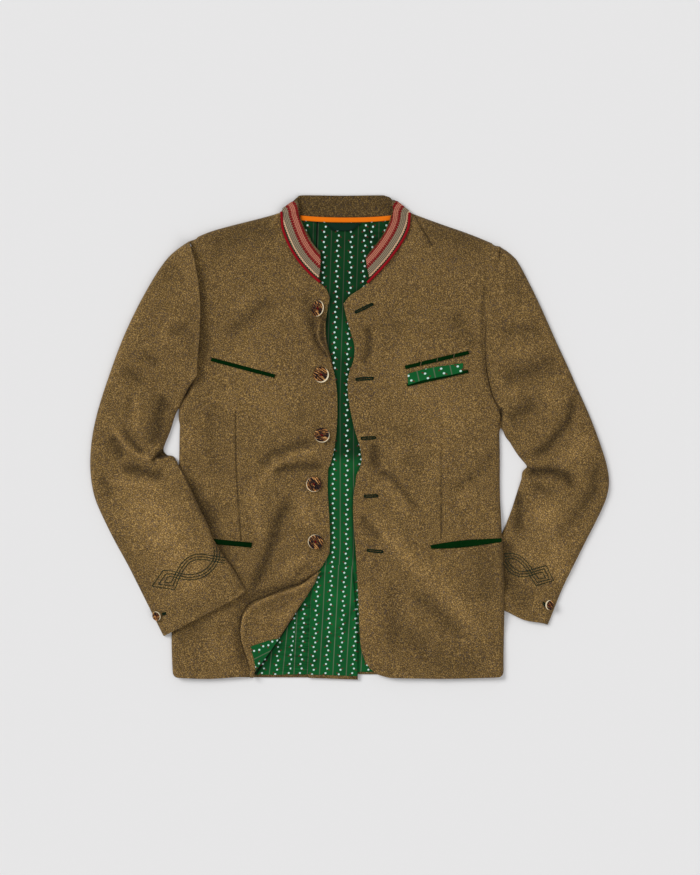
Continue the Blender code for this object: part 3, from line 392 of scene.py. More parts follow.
# Each row is a fold, in millimetres: its half width, its height (negative in a trough), how far its one side
# stands above the other, and then the x and y of the points of its line
FOLDS_LEFT = [
    (6.5, -2.8, 0, 28, 185, 31, 145, 21, 113),
    (10.8, -0.9, 0, 44, 188, 87, 169),
    (7.5, -3.6, -0.4, 39, -6, 39, -52),
    (5.7, -2.3, 0.4, 36, -49, 68, -63, 89, -88, 114, -121),
    (9, -0.8, 0, 62, 17, 110, 7),
    (10.8, -1, 0, 81, -33, 126, -47),
    (9, -2.2, 0, 17, -124, 50, -166),
    (12.2, 1.9, 0.3, 20, -103, 51, -146, 85, -188, 143, -242, 193, -300, 222, -334),
    (11.6, -1.7, 0, 103, -244, 143, -282, 186, -324),
    (10.8, 1.2, 0, 22, -228, 26, -327),
    (11.6, -1.2, 0, 63, -225, 72, -350),
    (8.1, 0.8, 0, 95, -255, 106, -308),
    (21.5, -1.4, 0, 206, -164, 225, -270),
    (7.5, -1.4, 0, 233, -10, 218, -46, 185, -71, 146, -90),
    (9.9, -1.4, 0, 159, 201, 204, 140),
    (10.8, 1.2, 0, 49, -68, 81, -100, 94, -132),
    (14.3, 0.9, 0, 129, -220, 153, -196),
    (7.2, 1, 0, 57, -28, 97, -15),
    (9, 1, 0, 169, -100, 206, -84),
    (16.1, 0.7, 0, 113, 28, 153, -4, 129, -84),
    (23.3, -1.5, 0, 105, 345, 161, 326, 228, 300),
    (3.6, -1.6, 0, 220, 287, 214, 220, 212, 148, 220, 84, 239, 39),
    (39.4, 0.9, 0, 57, 148, 129, 68, 193, -4),
    (21.5, -1.2, 0, 57, -292, 145, -364, 233, -369),
]
FOLDS_RIGHT = [
    (4.7, -2.2, 0, -58, 194, -58, 170, -56, 156, -50, 142, -39, 126),
    (8.1, -1.6, 0, -73, 236, -65, 201, -62, 164),
    (9.9, -1.7, 0, -122, 225, -169, 186, -202, 162),
    (8.1, 1.1, 0, -146, 234, -194, 201),
    (6.1, 2.1, 0, -169, -73, -142, -70, -120, -46, -86, -28, -33, -18),
    (7.2, -2.4, 0, -154, -52, -120, -24, -77, -10, -44, -4),
    (6.5, -3.4, 0, -129, -62, -103, -47, -68, -46, -33, -46),
    (9, -3.4, 0.6, -86, -89, -111, -129, -125, -177, -142, -220, -166, -263),
    (12.5, 1.6, 0, -74, -84, -68, -148),
    (6.1, -2.3, 0, -39, -212, -74, -230, -103, -238, -129, -246, -150, -253, -164, -262, -174, -274,
     -178, -287, -180, -302, -179, -319, -176, -337, -171, -356, -164, -377, -154, -404),
    (7.2, 2, 0, -114, -223, -62, -183),
    (5.4, -1.4, 0, -89, -223, -60, -201),
    (13.4, -1, 0, -223, 60, -220, -4, -210, -68),
    (14.3, -1.8, 0, -236, -97, -214, -145),
    (9.9, -2.8, 0, -268, -42, -247, -89, -221, -142, -190, -212, -161, -247),
    (10.8, 1, 0, -194, 82, -190, 38),
    (8.1, 1.5, 0, -161, -68, -146, -129, -142, -174),
    (14.3, -1.2, 0, -278, -327, -236, -298),
    (14.3, 1.1, 0, -220, -311, -202, -362),
    (12.5, -0.7, 0, -87, 60, -74, 20),
    (9, -0.8, 0, -230, 194, -228, 140, -233, 105),
    (14.3, 0.9, 0, -255, 28, -252, -28),
    (5.4, 0.6, 0, -71, -28, -55, -68),
    (23.3, -1.5, 0, -246, 300, -175, 326, -108, 351),
    (5.4, -0.8, 0, -241, 281, -239, 220, -241, 148, -244, 108),
    (35.8, 0.9, 0, -191, 172, -140, 76, -79, 12),
    (2.7, 2, 0, -111, 362, -118, 350, -126, 334),
]
FAR, UPPER = 9.0, 0.3  # out of a seam's reach, and the least slope that counts as the cloth's upper side
DART_LEFT = [(146, 36), (146, -16), (146, -68), (146, -120), (146, -161)]
DART_RIGHT = [(-183, 41), (-182, -50), (-178, -108), (-174, -164)]


def seam(cloth, line, width=1.4, depth=1.3):
    """Sinks a stitched line into a cloth, whose faces there are first made finer, and paints shade along it."""
    low, high = np.min(line, axis=0) - 6, np.max(line, axis=0) + 6

    def away(mesh):
        mesh.verts.index_update()
        points = np.array([vert.co.to_tuple() for vert in mesh.verts])[:, :2] / MM
        off = np.full(len(points), FAR)
        within = ((points > low) & (points < high)).all(axis=1)
        off[within] = beside(line, *points[within].T)[0]
        return off

    with editing(cloth) as mesh:
        for reach in (5.0, 2.6):
            off = away(mesh)
            near = [edge for edge in mesh.edges
                    if any(vert.normal.z > UPPER and off[vert.index] < reach for vert in edge.verts)]
            bmesh.ops.subdivide_edges(mesh, edges=near, cuts=1, use_grid_fill=True)
            mesh.normal_update()
        nap = mesh.verts.layers.float["nap"]
        for vert, distance in zip(mesh.verts, away(mesh)):
            if vert.normal.z > UPPER:
                close = math.exp(-((distance / width) ** 2))
                floor = min(vert.co.z, WALL * MM)
                vert.co.z = max(vert.co.z - depth * MM * close, floor)
                # painted shade along the line
                vert[nap] -= 0.75 * close
    cloth.data.shade_smooth()


def dress(cloth, node, material):
    """The cloth stands for its solid, with its own finish."""
    cloth.data.materials.append(material)
    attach(cloth, "root")
    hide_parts(node)
    return cloth


ARMHOLE_LEFT = [(241.5, 15), (241, 30), (238.5, 41), (229.5, 60), (223.5, 79), (218.5, 103), (215.5, 132),
                (215.5, 162), (218.5, 191), (223.5, 226), (229.5, 255), (237.5, 285), (240.5, 303),
                (241.5, 309)]
ARMHOLE_RIGHT = [(-274, 46), (-265.5, 66), (-257.5, 81.5), (-244.5, 99), (-243.5, 124), (-241.5, 148),
                 (-239.5, 172), (-238.5, 201), (-239.5, 223), (-241.5, 246), (-247.5, 282), (-256.5, 313),
                 (-258, 317)]
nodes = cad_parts
under_fronts = [nodes[n] for n in ("lining_back", "vent_lining", "back_left", "back_right", "sleeve_left_top")]
front_left = coax(tailored("front_left"), (7, -59, 15, -2.7, 0.0))
front_left = lay(sew_to(front_left, ARMHOLE_LEFT), FOLDS_LEFT, 3, under_fronts)
front_right = coax(tailored("front_right"), (-268, 52, 24, -5.5, -2.0), (-113, 357, 12, 3.0, 1.5),
                   (-269, 32, 15, -3.0, 0.5), (-39, -50, 14, -2.6, 0.6))
front_right = lay(sew_to(front_right, ARMHOLE_RIGHT), FOLDS_RIGHT, 4, under_fronts)
FLAP_EDGE = [(-52, -216), (-79.2, -234.6), (-103.2, -240.8), (-122.4, -248.8), (-138.4, -255.5),
             (-152.8, -260.8), (-164.8, -268.8), (-170.7, -278.4), (-173.9, -292), (-175.2, -308),
             (-173.6, -324), (-169.1, -340), (-164, -356), (-158.4, -372)]
SHOULDER_CREASE = [(103, 356), (113.6, 337), (122.4, 322.4), (130.4, 308)]
seam(front_right, FLAP_EDGE, 1.8, 0.8)
seam(front_left, SHOULDER_CREASE, 1.7, 0.5)

# Between the two top buttons the edge has rolled back. Down the roll: its rim in plan, the place where it
# meets the edge, and its height
ROLL = [(-44.2, 196, -38.6, 196, 2.4), (-46.6, 190.4, -38.7, 190, 3.2), (-50.2, 181.9, -38.9, 183, 3.8),
        (-52.3, 174.4, -38.9, 176, 4.2), (-53.3, 167.2, -38.7, 168, 4.4), (-52.2, 159.7, -37.9, 160.5, 4.4),
        (-49.1, 152.3, -36.9, 153.5, 4.0), (-44.2, 144.9, -35.4, 146, 3.4), (-38.6, 137.6, -33.4, 138, 2.6),
        (-34.2, 130.1, -31.0, 130.5, 1.7), (-29.3, 120.3, -28.2, 119, 0.7)]
# across the roll, from the rim to the foot: place, share of the height, and the painted fold shade, a painted
# highlight above 0 and painted shade below 0
ROLL_PROFILE = [(0, 0.0, -0.6), (0.015, 0.7, 0.1), (0.05, 1.0, 0.5), (0.12, 0.97, 0.35), (0.25, 0.74, -0.4),
                (0.45, 0.45, -0.8), (0.7, 0.2, -0.75), (1, 0.04, -0.5)]
places = np.linspace(0, len(ROLL) - 1, 45)
down = [np.interp(places, range(len(ROLL)), column) for column in zip(*ROLL)]
rim, foot, height = np.stack(down[:2], axis=1), np.stack(down[2:4], axis=1), down[4]
across, risen, painted_roll_shade = (np.array(column) for column in zip(*ROLL_PROFILE))
plan = rim[:, None] + (foot - rim)[:, None] * across[None, :, None]
ground = heights(plan[..., 0].ravel(), plan[..., 1].ravel(), front_right, missed=3.0).reshape(plan.shape[:2])
over = np.dstack([plan, ground + 0.25 + height[:, None] * risen])
under = np.dstack([plan, ground - 0.9])
number = np.arange(2 * ground.size).reshape(2, *ground.shape)
faces = [[int(layer[r + i, c + j]) for i, j in ((0, 0), (1, 0), (1, 1), (0, 1))]
         for layer in number for r in range(len(places) - 1) for c in range(len(ROLL_PROFILE) - 1)]
brims = [np.concatenate([n[:, 0], n[-1, 1:], n[-2::-1, -1], n[0, -2:0:-1]]).tolist() for n in number]
nexts = [brim[1:] + brim[:1] for brim in brims]
faces += [(a, b, d, c) for a, b, c, d in zip(brims[0], nexts[0], brims[1], nexts[1])]
roll = into_scene("front_roll", bpy.data.meshes.new("front_roll"))
roll.data.from_pydata((np.vstack([over.reshape(-1, 3), under.reshape(-1, 3)]) * MM).tolist(), [], faces)
# painted highlight on the rim and painted shade below it
nap = roll.data.attributes.new("nap", "FLOAT", "POINT")
nap.data.foreach_set("value", np.tile((painted_roll_shade[None] * (height / 4.2)[:, None]).ravel(), 2))
with editing(roll) as mesh:
    bmesh.ops.recalc_face_normals(mesh, faces=mesh.faces)
roll.data.shade_smooth()
roll.data.materials.append(loden("roll_loden"))
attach(roll, "root")
ROLL_FOOT_CREASE = [(-55, 163), (-51.8, 153.5), (-46.4, 144.5), (-40.6, 136.5), (-36.5, 130)]
seam(front_right, ROLL_FOOT_CREASE, 2.0, 2.2)
for cloth, node, dart, flat, area in (
    (front_left, "front_left", DART_LEFT, (0.262, 0.75), 0.167),
    (front_right, "front_right", DART_RIGHT, (0.27, 0.745), 0.152),
):
    seam(cloth, dart)
    dress(cloth, node, loden(node + "_loden"))


# ---------------------------------------------------------------- back
# Loden in two halves, of the same cloth as the fronts, joined by a centre seam that ends in the vent. It
# lies flat on the surface under the jacket.

for node, flat, area in (("back_left", (0.256, 0.735), 0.172), ("back_right", (0.28, 0.74), 0.184)):
    # the back halves are dimmed to 0.9, as painted shade
    back = dress(tailored(node, 2), node, loden(node + "_loden", 0.9))


# ---------------------------------------------------------------- back lining and vent
# Printed lining of smooth twill: thin stripes, and between them columns of small white flowers that step
# from side to side, each with a red leaf. A pleat on each side of the neck gives it ease. The lapped strip
# of the vent is loden lined with the same print.

REPEAT, PITCH = 21.4, 8.0  # from one column of flowers to the next, and from flower to flower
ROWS_PER_MM, FIRST_ROW = 0.12262, 0.124
CLOSER, CLOSER_FROM = 0.0049, (-19.2, -191.6, -281.3)  # below each height the rows stand that much closer
CHEST, WAIST = 50, -175  # above the one and below the other the columns lean
PETAL_EDGE, STRIPE_EDGE = (1.25, 1.85), (0.45, 0.85)  # how far each reaches from its middle line or point
PRINT_GREEN, DEEP_GREEN = (0.0035, 0.095, 0.020), (0.002, 0.060, 0.014)
STRIPE, FLOWER, LEAF = (0.13, 0.14, 0.095), (0.55, 0.72, 0.67), (0.125, 0.008, 0.013)


def printed(name, turn=0.0, origin=(-14.7, 0), fall=None, light=1.0, wide=1.0, painted_shading=False):
    """The printed lining. fall follows how the cloth hangs at the neck and the hem, on the back or the vent."""
    cloth = Finish(name, 0.6, Specular_IOR_Level=0.08)
    x, y, _ = cloth.split(cloth.turned(turn, origin))
    x, far_down = x * (1 / wide), y * -1
    row = y * ROWS_PER_MM + FIRST_ROW
    if fall:
        top, hem = (y - CHEST).math("MAXIMUM", 0.0), (WAIST - y).math("MAXIMUM", 0.0)
        for start in CLOSER_FROM:
            row = row + (y - start).math("MINIMUM", 0.0) * CLOSER
        x = x - top * 0.03
        if fall == "vent":
            x = x + hem * 0.0574 + 0.8
        else:
            # each half leans outwards from its pleat beside the neck
            left_half, right_half = x + far_down.math("MAXIMUM", 0.0) * 0.0867, x + y * 0.055 - 55.7
            # dark in the two pleats
            shadow = (1 - abs(left_half + 46.5).between(0.7, 1.5)) * y.between(235, 285) * 0.95
            shadow = shadow + (1 - abs(right_half).between(0.5, 1.2)) * y.between(235, 300) * 0.6
            # darker beside the turned-back corner and beside the fronts' edges, which stand over it
            corner = 1 - (x * 0.8407 - y * 0.5417 - 90.95).between(0.6, 3.4)
            right_edge = 1 - (x + y * 0.0934 + 7.56).between(0.5, 6.0)
            left_edge = 1 - (20.3 - x).between(0.5, 4.0)
            shadow = shadow + corner * far_down.between(262, 272) * 0.8
            shadow = shadow + right_edge * (1 - abs(y - 150).between(40, 56)) * 0.6
            shadow = shadow + left_edge * (1 - abs(y + 140).between(50, 66)) * 0.45
            left, right = (left_half + 47.3).math("LESS_THAN", 0.0), right_half.math("GREATER_THAN", 0.0)
            x = x + hem * 0.052 + left * (hem * 0.05 + 7.8) + right * 10
        x = x + y.between(0, 100) * 0.8 - far_down.between(190, 290) * 0.7 + 1.0
    cell = x / REPEAT
    column = cell.math("FLOOR")
    odd = column % 2
    across = (cell - column - 0.5) * REPEAT
    row = row - odd * 0.27
    number = row.math("FLOOR")
    up = (row - number - 0.5) * PITCH
    side = (number % 2) * 2 - 1
    dx = across - side * 1.15
    petals = (dx * dx + up * up).math("SQRT")
    flower = 1 - petals.between(*PETAL_EDGE)
    tilt = odd * -2 + 1
    lx, ly = (across * side - 3.7), (up * tilt - 1.9)
    a, b = lx * 0.83 + ly * 0.56, ly * 0.83 - lx * 0.56
    leaf = 1 - (a * a * 0.30 + b * b * 1.6).between(0.8, 1.7)
    stripe = 1 - (REPEAT / 2 - abs(across)).between(*STRIPE_EDGE)
    shades = cloth.noise(0.03, 2.0)
    thread = cloth.noise(1.6, 1.0, cloth.stretched(cloth.mm, 1, 0.2, 1))
    deep = shades.between(0.3, 0.7) * 0.5 + thread * 0.3
    ground = cloth.mix(deep, lit(PRINT_GREEN, light), lit(DEEP_GREEN, light))
    colour = cloth.mix(stripe * 0.7, ground, STRIPE)
    if painted_shading:  # painted shade: darker high up under the fronts and in its creases, lighter in a band about 157 mm up
        painted_lining_shade = far_down.between(22, 44) * 0.60 + 0.46 + (1 - abs(y - 157).between(8, 45)) * 0.22
        if fall == "back":
            painted_lining_shade = painted_lining_shade * (1 - shadow)
        colour = cloth.scaled(colour, cloth.nap(0.1, 1.9) * painted_lining_shade)
    colour = cloth.mix(leaf * 0.85, colour, LEAF)
    colour = cloth.mix(flower, colour, FLOWER)
    return cloth.surface(colour, thread * 0.5 + flower * 0.3, 0.12)


FOLDS_LINING = [
    (2.4, -4, 0.8, -53, 362, -53.5, 330, -54, 290, -57, 250),
    (2.6, -2.4, -0.8, 31, 362, 32, 330, 35, 300, 40, 255),
    (9, 0.8, 0.2, -4, 230, -9, 120, -6, 20),
    (10, -0.6, 0.3, -18, 60, -16, -60, -20, -170),
    (6, -2.2, 0, -62, -238, -66, -310, -72, -400),
    (4, -1.4, 0.4, -86, -330, -96, -372, -104, -395),
    (4, 0.8, 0, -76, -360, -92, -384),
]
FOLDS_VENT = [
    (3.4, -1.6, 0.8, -6, -292, -31, -322, -46, -348),
    (4, -1.4, 0.5, 12, -262, -2, -290, -12, -322),
    (3.2, -1.3, 0.6, -50, -344, -62, -370),
    (4, 0.8, 0, -26, -318, -6, -286),
    (8, 0.6, 0.2, -24, -230, -26, -300, -34, -380),
    (7, 0.5, 0.2, 2, -236, 4, -300, -2, -380),
]
under_lining = [nodes[n] for n in ("back_left", "back_right", "sleeve_left_top")]
lining_back = lay(tailored("lining_back"), FOLDS_LINING, 7, under_lining, 0.22, 40.0, 1.0)
dress(lining_back, "lining_back", printed("lining_back_print", fall="back", painted_shading=True))
vent_lap = dress(tailored("vent_lap", 2), "vent_lap", loden("vent_loden"))
under_vent = [nodes["vent_lap"], nodes["lining_back"]]
vent_lining = lay(tailored("vent_lining"), FOLDS_VENT, 8, under_vent, 0.2, 30.0, 1.0)
dress(vent_lining, "vent_lining", printed("vent_print", fall="vent", painted_shading=True))


# ---------------------------------------------------------------- sleeves
# Two-piece sleeves: the top sleeve arches over the flat under sleeve. The right one is bent at the elbow
# over the hip, with its deepest folds there, and the left one lies with its cuff under the body.

FOLDS_SLEEVE_RIGHT = [
    (10.8, -3.6, 0, -297, 76, -302, 47, -308, 12, -318, -17),
    (3.4, -8, 0, -290, -15, -300, -23, -310, -32, -319, -39),
    (4.3, -6.5, 0, -289, -25, -300, -29, -308, -34),
    (3.8, 3.4, 0, -393, 30, -374, 10, -357, -14, -339, -29, -322, -34, -303, -33, -284, -34),
    (5.4, -2.4, 0, -362, 18, -351, -4, -338, -18, -324, -25),
    (7.2, -3, 0, -380, 6, -376, -14, -359, -33),
    (7.2, -3.4, 0, -369, -47, -330, -54, -292, -65),
    (7.2, 1.8, 0, -342, 76, -340, 36, -343, 1),
    (6.3, -1.2, 0, -350, 76, -354, 28),
    (9, -1.8, 0, -294, 166, -255, 178),
    (9, -1.5, 0, -338, 135, -302, 116),
    (10.8, -1.8, 0, -370, 113, -329, 89),
    (10.8, 1, 0, -284, 201, -298, 140),
    (10.8, 1.8, 0, -393, -62, -343, -76, -295, -87),
    (26.9, 1.8, 0, -322, -94, -310, -132, -297, -177),
    (8.1, -1.4, 0, -399, -58, -380, -100),
    (7.2, -0.9, 0, -366, -100, -356, -119),
    (10.8, -0.9, 0, -255, 220, -252, 140, -258, 100),
    (14.3, 0.8, 0, -383, 68, -370, 140, -335, 220),
    (21.5, -0.8, 0, -319, 244, -279, 281),
    (14.3, -0.8, 0, -231, -228, -204, -220),
    (39.4, 1.9, 0, -380, -65, -319, -132, -263, -199, -217, -270),
    (12.5, -0.8, 0, -399, -132, -359, -196, -319, -276),
]
FOLDS_SLEEVE_LEFT = [
    (7.2, -3.4, 0.4, 364, 79, 350, 26, 319, -14, 281, -38),
    (12.5, 1.8, 0, 326, -46, 361, -25, 388, 6),
    (6.5, -4.2, 0.8, 274, -58, 318, -52, 348, -60, 361, -86),
    (9, -1.5, 0, 286, -74, 313, -84, 337, -81),
    (9.9, -2.4, 0, 399, -20, 390, -84, 354, -135, 310, -185),
    (8.1, -3.4, 0, 268, -78, 271, -116, 268, -158),
    (10.8, -3, 0, 252, -158, 254, -204, 252, -257),
    (9.9, -1.4, 0, 234, 170, 273, 172, 314, 170),
    (12.5, -1.9, 0, 236, 92, 287, 105, 340, 124),
    (12.5, -2.2, 0, 249, 28, 276, 42, 300, 60),
    (14.3, 1.4, 0, 260, -174, 298, -199),
    (14.3, -1.6, 0, 254, -250, 295, -260),
    (9, 1, 0, 241, 137, 297, 143),
    (9, 1, 0, 241, 66, 273, 73),
    (12.5, 1, 0, 313, 52, 337, 84),
    (9, 1, 0, 377, -100, 337, -156, 324, -196),
    (14.3, 1.2, 0, 289, -108, 313, -132),
    (23.3, 1.8, 0, 313, -84, 324, -164, 340, -244),
    (3.4, -1.4, 0, 222, 281, 217, 220, 215, 148, 223, 84, 241, 41),
    (17.9, -0.8, 0, 257, 220, 273, 268),
]
# short creases under the left arm, round the armhole's foot and at the inner elbow: line, width and depth
CREASES_LEFT = [([(231, 60), (236.8, 50.4), (241, 42), (242, 30), (242, 18)], 2.0, 1.8),
                ([(243, 45), (240.5, 30)], 3.2, 1.4),
                ([(281, -45.5), (288.8, -49.6), (295.2, -53.6)], 1.7, 2.2)]
sleeves = {}
for side, folds, armhole, seed, flat, area, drawn in (
    ("left", FOLDS_SLEEVE_LEFT, ARMHOLE_LEFT, 11, (0.2, 0.62), 0.082,
     [(248, 20, 17, -6.5, -1.0), (254, 5, 15, -3.4, -1.0), (278, -56, 13, -2.5, 2.5),
      (278, -293, 38, -0.5, -5.0)]),
    ("right", FOLDS_SLEEVE_RIGHT, ARMHOLE_RIGHT, 12, (0.2, 0.64), 0.085,
     [(-209, -172, 45, -5.0, 0.0), (-164, -250, 16, 0.0, 2.0), (-285, -36, 13, 1.5, 4.0)]),
):
    top, under = f"sleeve_{side}_top", f"sleeve_{side}_under"
    sleeve = lay(sew_to(coax(tailored(top), *drawn), armhole), folds, seed, [nodes[under]])
    for line, width, depth in CREASES_LEFT if side == "left" else ():
        seam(sleeve, line, width, depth)
    sleeves[side] = dress(sleeve, top, loden(top + "_loden"))
    # the under sleeve is dimmed to 0.9, as painted shade
    low = dress(tailored(under, 2), under, loden(under + "_loden", 0.9))


# ---------------------------------------------------------------- turned-back corner
# The lower corner of the right front is turned back, so its loden facing shows with a soft rolled fold,
# then a corner of the lining, then the turned-up hem.

FOLDS_FLAP = [
    (3.2, 2.2, 0, -40, -214, -64, -233, -88, -244, -114, -252, -136, -260, -155, -270, -168, -285, -173, -309,
     -171, -336, -165, -361, -158, -392),
    (4.5, -0.9, 0, -62, -240, -112, -258, -150, -278, -164, -310, -162, -345),
    (12, 0.7, 0.2, -86, -272, -120, -292),
    (6, -0.6, 0, -95, -262, -135, -280),
]
HEM_FOLD = [(-106, -310), (-111, -318), (-124, -337), (-138, -356), (-149, -371), (-154, -384)]
under_flap = [nodes["front_right"], nodes["vent_lining"]]
flap = sew_to(tailored("facing_turnback"), FLAP_EDGE, 2.6, 11.0)
lay(flap, FOLDS_FLAP, 15, under_flap, 0.3, 40.0, 1.5)
# the facing is lifted to 1.05, as painted light
dress(flap, "facing_turnback", loden("facing_loden", 1.05))
corner = dress(sew_to(tailored("lining_turnback"), HEM_FOLD, 3.2, 9.0), "lining_turnback",
               printed("turned_print", turn=63, origin=(-138, -346.5), light=1.05))


# ---------------------------------------------------------------- collar
# A standing collar of loden that lies open: its outer side shows in front, where a woven ribbon covers it,
# and its inner side shows across the back of the neck.

NECK_SEAM_LEFT = [(29, 247), (42, 260), (57, 276), (66, 287), (75, 299.5), (83, 312), (90, 325),
                  (94.6, 336.5), (97.2, 347), (97.8, 356)]
NECK_SEAM_RIGHT = [(-49, 248), (-62, 259), (-78, 276), (-87, 288), (-95, 301), (-102, 316), (-108, 332),
                   (-112, 344), (-114.4, 352), (-115.2, 358)]
collar = coax(tailored("collar"), (65, 386.4, 14, -1.2, -2.4), (74, 378, 14, -1.4, -1.6),
              (-53, 311, 16, -2.8, -1.8))
# the collar's loden is dimmed to 0.57: painted shade where its inner side lies at the back of the neck
dress(collar, "collar", loden("collar_loden", 0.57, painted_shading=False))


RUN_ON = 40.0  # the weave goes on past both ends of the neck seam
EVENED = 90.0  # square millimetres over which the collar's dents are evened out under a ribbon


def meet_seam(cloth, line, gap=2.8, reach=12.0):
    """Eases a ribbon over to the seam line wherever its edge stands off it."""
    points = plan_of(cloth)
    away, along, _, foot = beside(line, *points[:, :2].T, RUN_ON)
    steps = np.unique(np.round(along / 5.0)) * 5.0
    edge = [away[abs(along - step) <= 3.0].min() for step in steps]
    off = np.interp(along, steps, edge)
    drawn = np.maximum(off - gap, 0.0) * ease(1 - (away - off) / reach) / np.maximum(away, 1e-6)
    points[:, :2] += (foot - points[:, :2]) * drawn[:, None]
    return reshape(cloth, points)


RED, DEEP_RED = (0.20, 0.0008, 0.002), (0.14, 0.0005, 0.0015)
# from the neck seam outwards: where each band ends, its two colours, and how far its inner edge is serrated
WOVEN_BANDS = [
    (5.3, (0.006, 0.022, 0.010), (0.012, 0.035, 0.014), 0),
    (7.1, (0.86, 0.58, 0.36), (0.55, 0.33, 0.19), 0.6),
    (16.9, (0.36, 0.28, 0.18), (0.060, 0.044, 0.028), 0.6),
    (20.8, RED, DEEP_RED, 1.1),
    (28.9, (0.60, 0.23, 0.14), (0.15, 0.010, 0.011), -1.1),
    (32.8, RED, DEEP_RED, 1.1),
    (60.0, (0.17, 0.12, 0.055), (0.10, 0.07, 0.03), -1.1),
]


def woven_ribbon(name):
    ribbon = Finish(name, 0.75, Specular_IOR_Level=0.2)
    along, away, _ = ribbon.split(ribbon.node("UVMap", {"uv_map": "ribbon"}))
    along, away = along * 1000, away * 1000
    serration = (abs((along / 4.0) % 1 - 0.5) - 0.25) * 4.0
    floats = (along * 1.5 + away * 1.25).math("SINE") * (along * 1.5 - away * 1.25).math("SINE")
    weave = (floats * 1.6 + 0.5).between(0.0, 1.0)
    colour, start = None, 0.0
    for end, light, dark, serrated in WOVEN_BANDS:
        band = ribbon.mix(weave, dark, light)
        shown = (away + serration * serrated - start).between(-0.25, 0.25)
        colour = ribbon.mix(shown, colour, band) if colour else band
        start = end
    return ribbon.surface(colour, weave, 0.25)


# where each ribbon is drawn up to the top of the shoulder: place, reach and way
RIBBON_ENDS = {
    "left": [(90, 347, 20, 3.0, 11.5), (80, 358, 20, 0.0, 9.5), (70, 371, 20, -3.5, 10.0),
             (68, 364, 13, 3.2, 0.6), (72, 379, 10, -0.8, 1.5)],
    "right": [(-107, 349, 20, -0.5, 11.0), (-97, 360, 20, 0.5, 8.0), (-86, 370, 20, 2.5, 9.5)],
}
for side, line in (("left", NECK_SEAM_LEFT), ("right", NECK_SEAM_RIGHT)):
    ribbon = tailored(f"ribbon_{side}")
    rise = np.array([0.9 + 0.5 * max(-1, min(1, v.normal.z * 2)) for v in ribbon.data.vertices])
    points = plan_of(coax(meet_seam(ribbon, line), *RIBBON_ENDS[side]))
    bearing = heights(points[:, 0], points[:, 1], collar, missed=-1.0)
    borne = points[bearing > 0, :2]
    nearest = [np.argmin(np.hypot(*(borne - point).T)) for point in points[:, :2]]
    bearing = bearing[bearing > 0][nearest]
    spread = np.exp(-((points[:, None, :2] - points[None, :, :2]) ** 2).sum(axis=2) / EVENED)
    eased = spread @ bearing / spread.sum(axis=1)
    points[:, 2] = np.maximum(eased + 0.3, bearing) + rise
    reshape(ribbon, points)
    away, along, _, _ = beside(line, *points[:, :2].T, RUN_ON)
    strip = ribbon.data.uv_layers.new(name="ribbon")
    for loop in ribbon.data.loops:
        strip.data[loop.index].uv = (along[loop.vertex_index] * MM, away[loop.vertex_index] * MM)
    dress(ribbon, f"ribbon_{side}", woven_ribbon(f"ribbon_{side}_weave"))


# ---------------------------------------------------------------- piping, tape and hanger
# Red wool cord sewn into the neck seam, satin tape over that seam at the back of the neck, and a plain
# woven tab, sewn down below the tape.

def plain_weave(name, light, dark, roughness, per_mm=1.1):
    cloth = Finish(name, roughness, Specular_IOR_Level=0.15)
    fine = cloth.noise(per_mm, 2.0)
    broad = cloth.noise(0.05, 1.0)
    colour = cloth.mix(fine.between(0.35, 0.65) * 0.7 + broad * 0.3, dark, light)
    return cloth.surface(colour, fine, 0.2)


for node, slot, light, dark, roughness in (
    ("piping_left", "piping", (0.31, 0.002, 0.008), (0.18, 0.001, 0.004), 0.85),
    ("piping_right", "piping", (0.31, 0.002, 0.008), (0.18, 0.001, 0.004), 0.85),
    ("neck_tape", "tape", (0.86, 0.19, 0.0), (0.76, 0.15, 0.0), 0.7),
    ("neck_tab", "tab", (0.0008, 0.024, 0.012), (0.0005, 0.014, 0.007), 0.8),
):
    trim = tailored(node, 2)
    if slot == "piping":
        swollen = plan_of(trim) + 0.4 * np.array([v.normal for v in trim.data.vertices])
        upper_end = (96, 349, 15, -0.5, 10) if node == "piping_left" else (-111, 349, 15, 1.0, 12)
        coax(reshape(trim, swollen), upper_end)
    points = plan_of(trim)
    x, y, z = points.T
    if node == "neck_tape":  # narrower than its solid, and its ends rise a little
        y[:] = y.max() - 0.9 - (y.max() - y) * 0.84
        y += 1.9 * (abs(x + 6) / 74) ** 3
    if node == "neck_tab":  # hangs a little off the lining at its foot
        z += 0.3 + 1.6 * (y.max() - y) / np.ptp(y)
    reshape(trim, points)
    dress(trim, node, plain_weave(node + "_weave", light, dark, roughness))
    if slot != "piping":
        flat, area = ((0.15, 0.01), 0.0012) if slot == "tape" else ((0.063, 0.0105), 0.00055)


# ---------------------------------------------------------------- pockets
# Velvet welts, dark green. The upper one on the left chest is closed with small stitches, and a folded
# square of the printed lining shows in the one below it.

def velvet(name, light=1.0):
    pile = Finish(name, 0.95, Specular_IOR_Level=0.02, Sheen_Weight=0.04, Sheen_Roughness=0.35,
                  Sheen_Tint=(0.04, 0.5, 0.05, 1))
    nap = pile.noise(0.9, 2.0)
    brushed = pile.noise(0.12, 2.0)
    dark, bright = (0.0003, 0.0045, 0.0006), (0.0014, 0.016, 0.0025)
    colour = pile.mix(nap.between(0.3, 0.7) * 0.5 + brushed * 0.5, lit(dark, light), lit(bright, light))
    return pile.surface(colour, nap, 0.35)


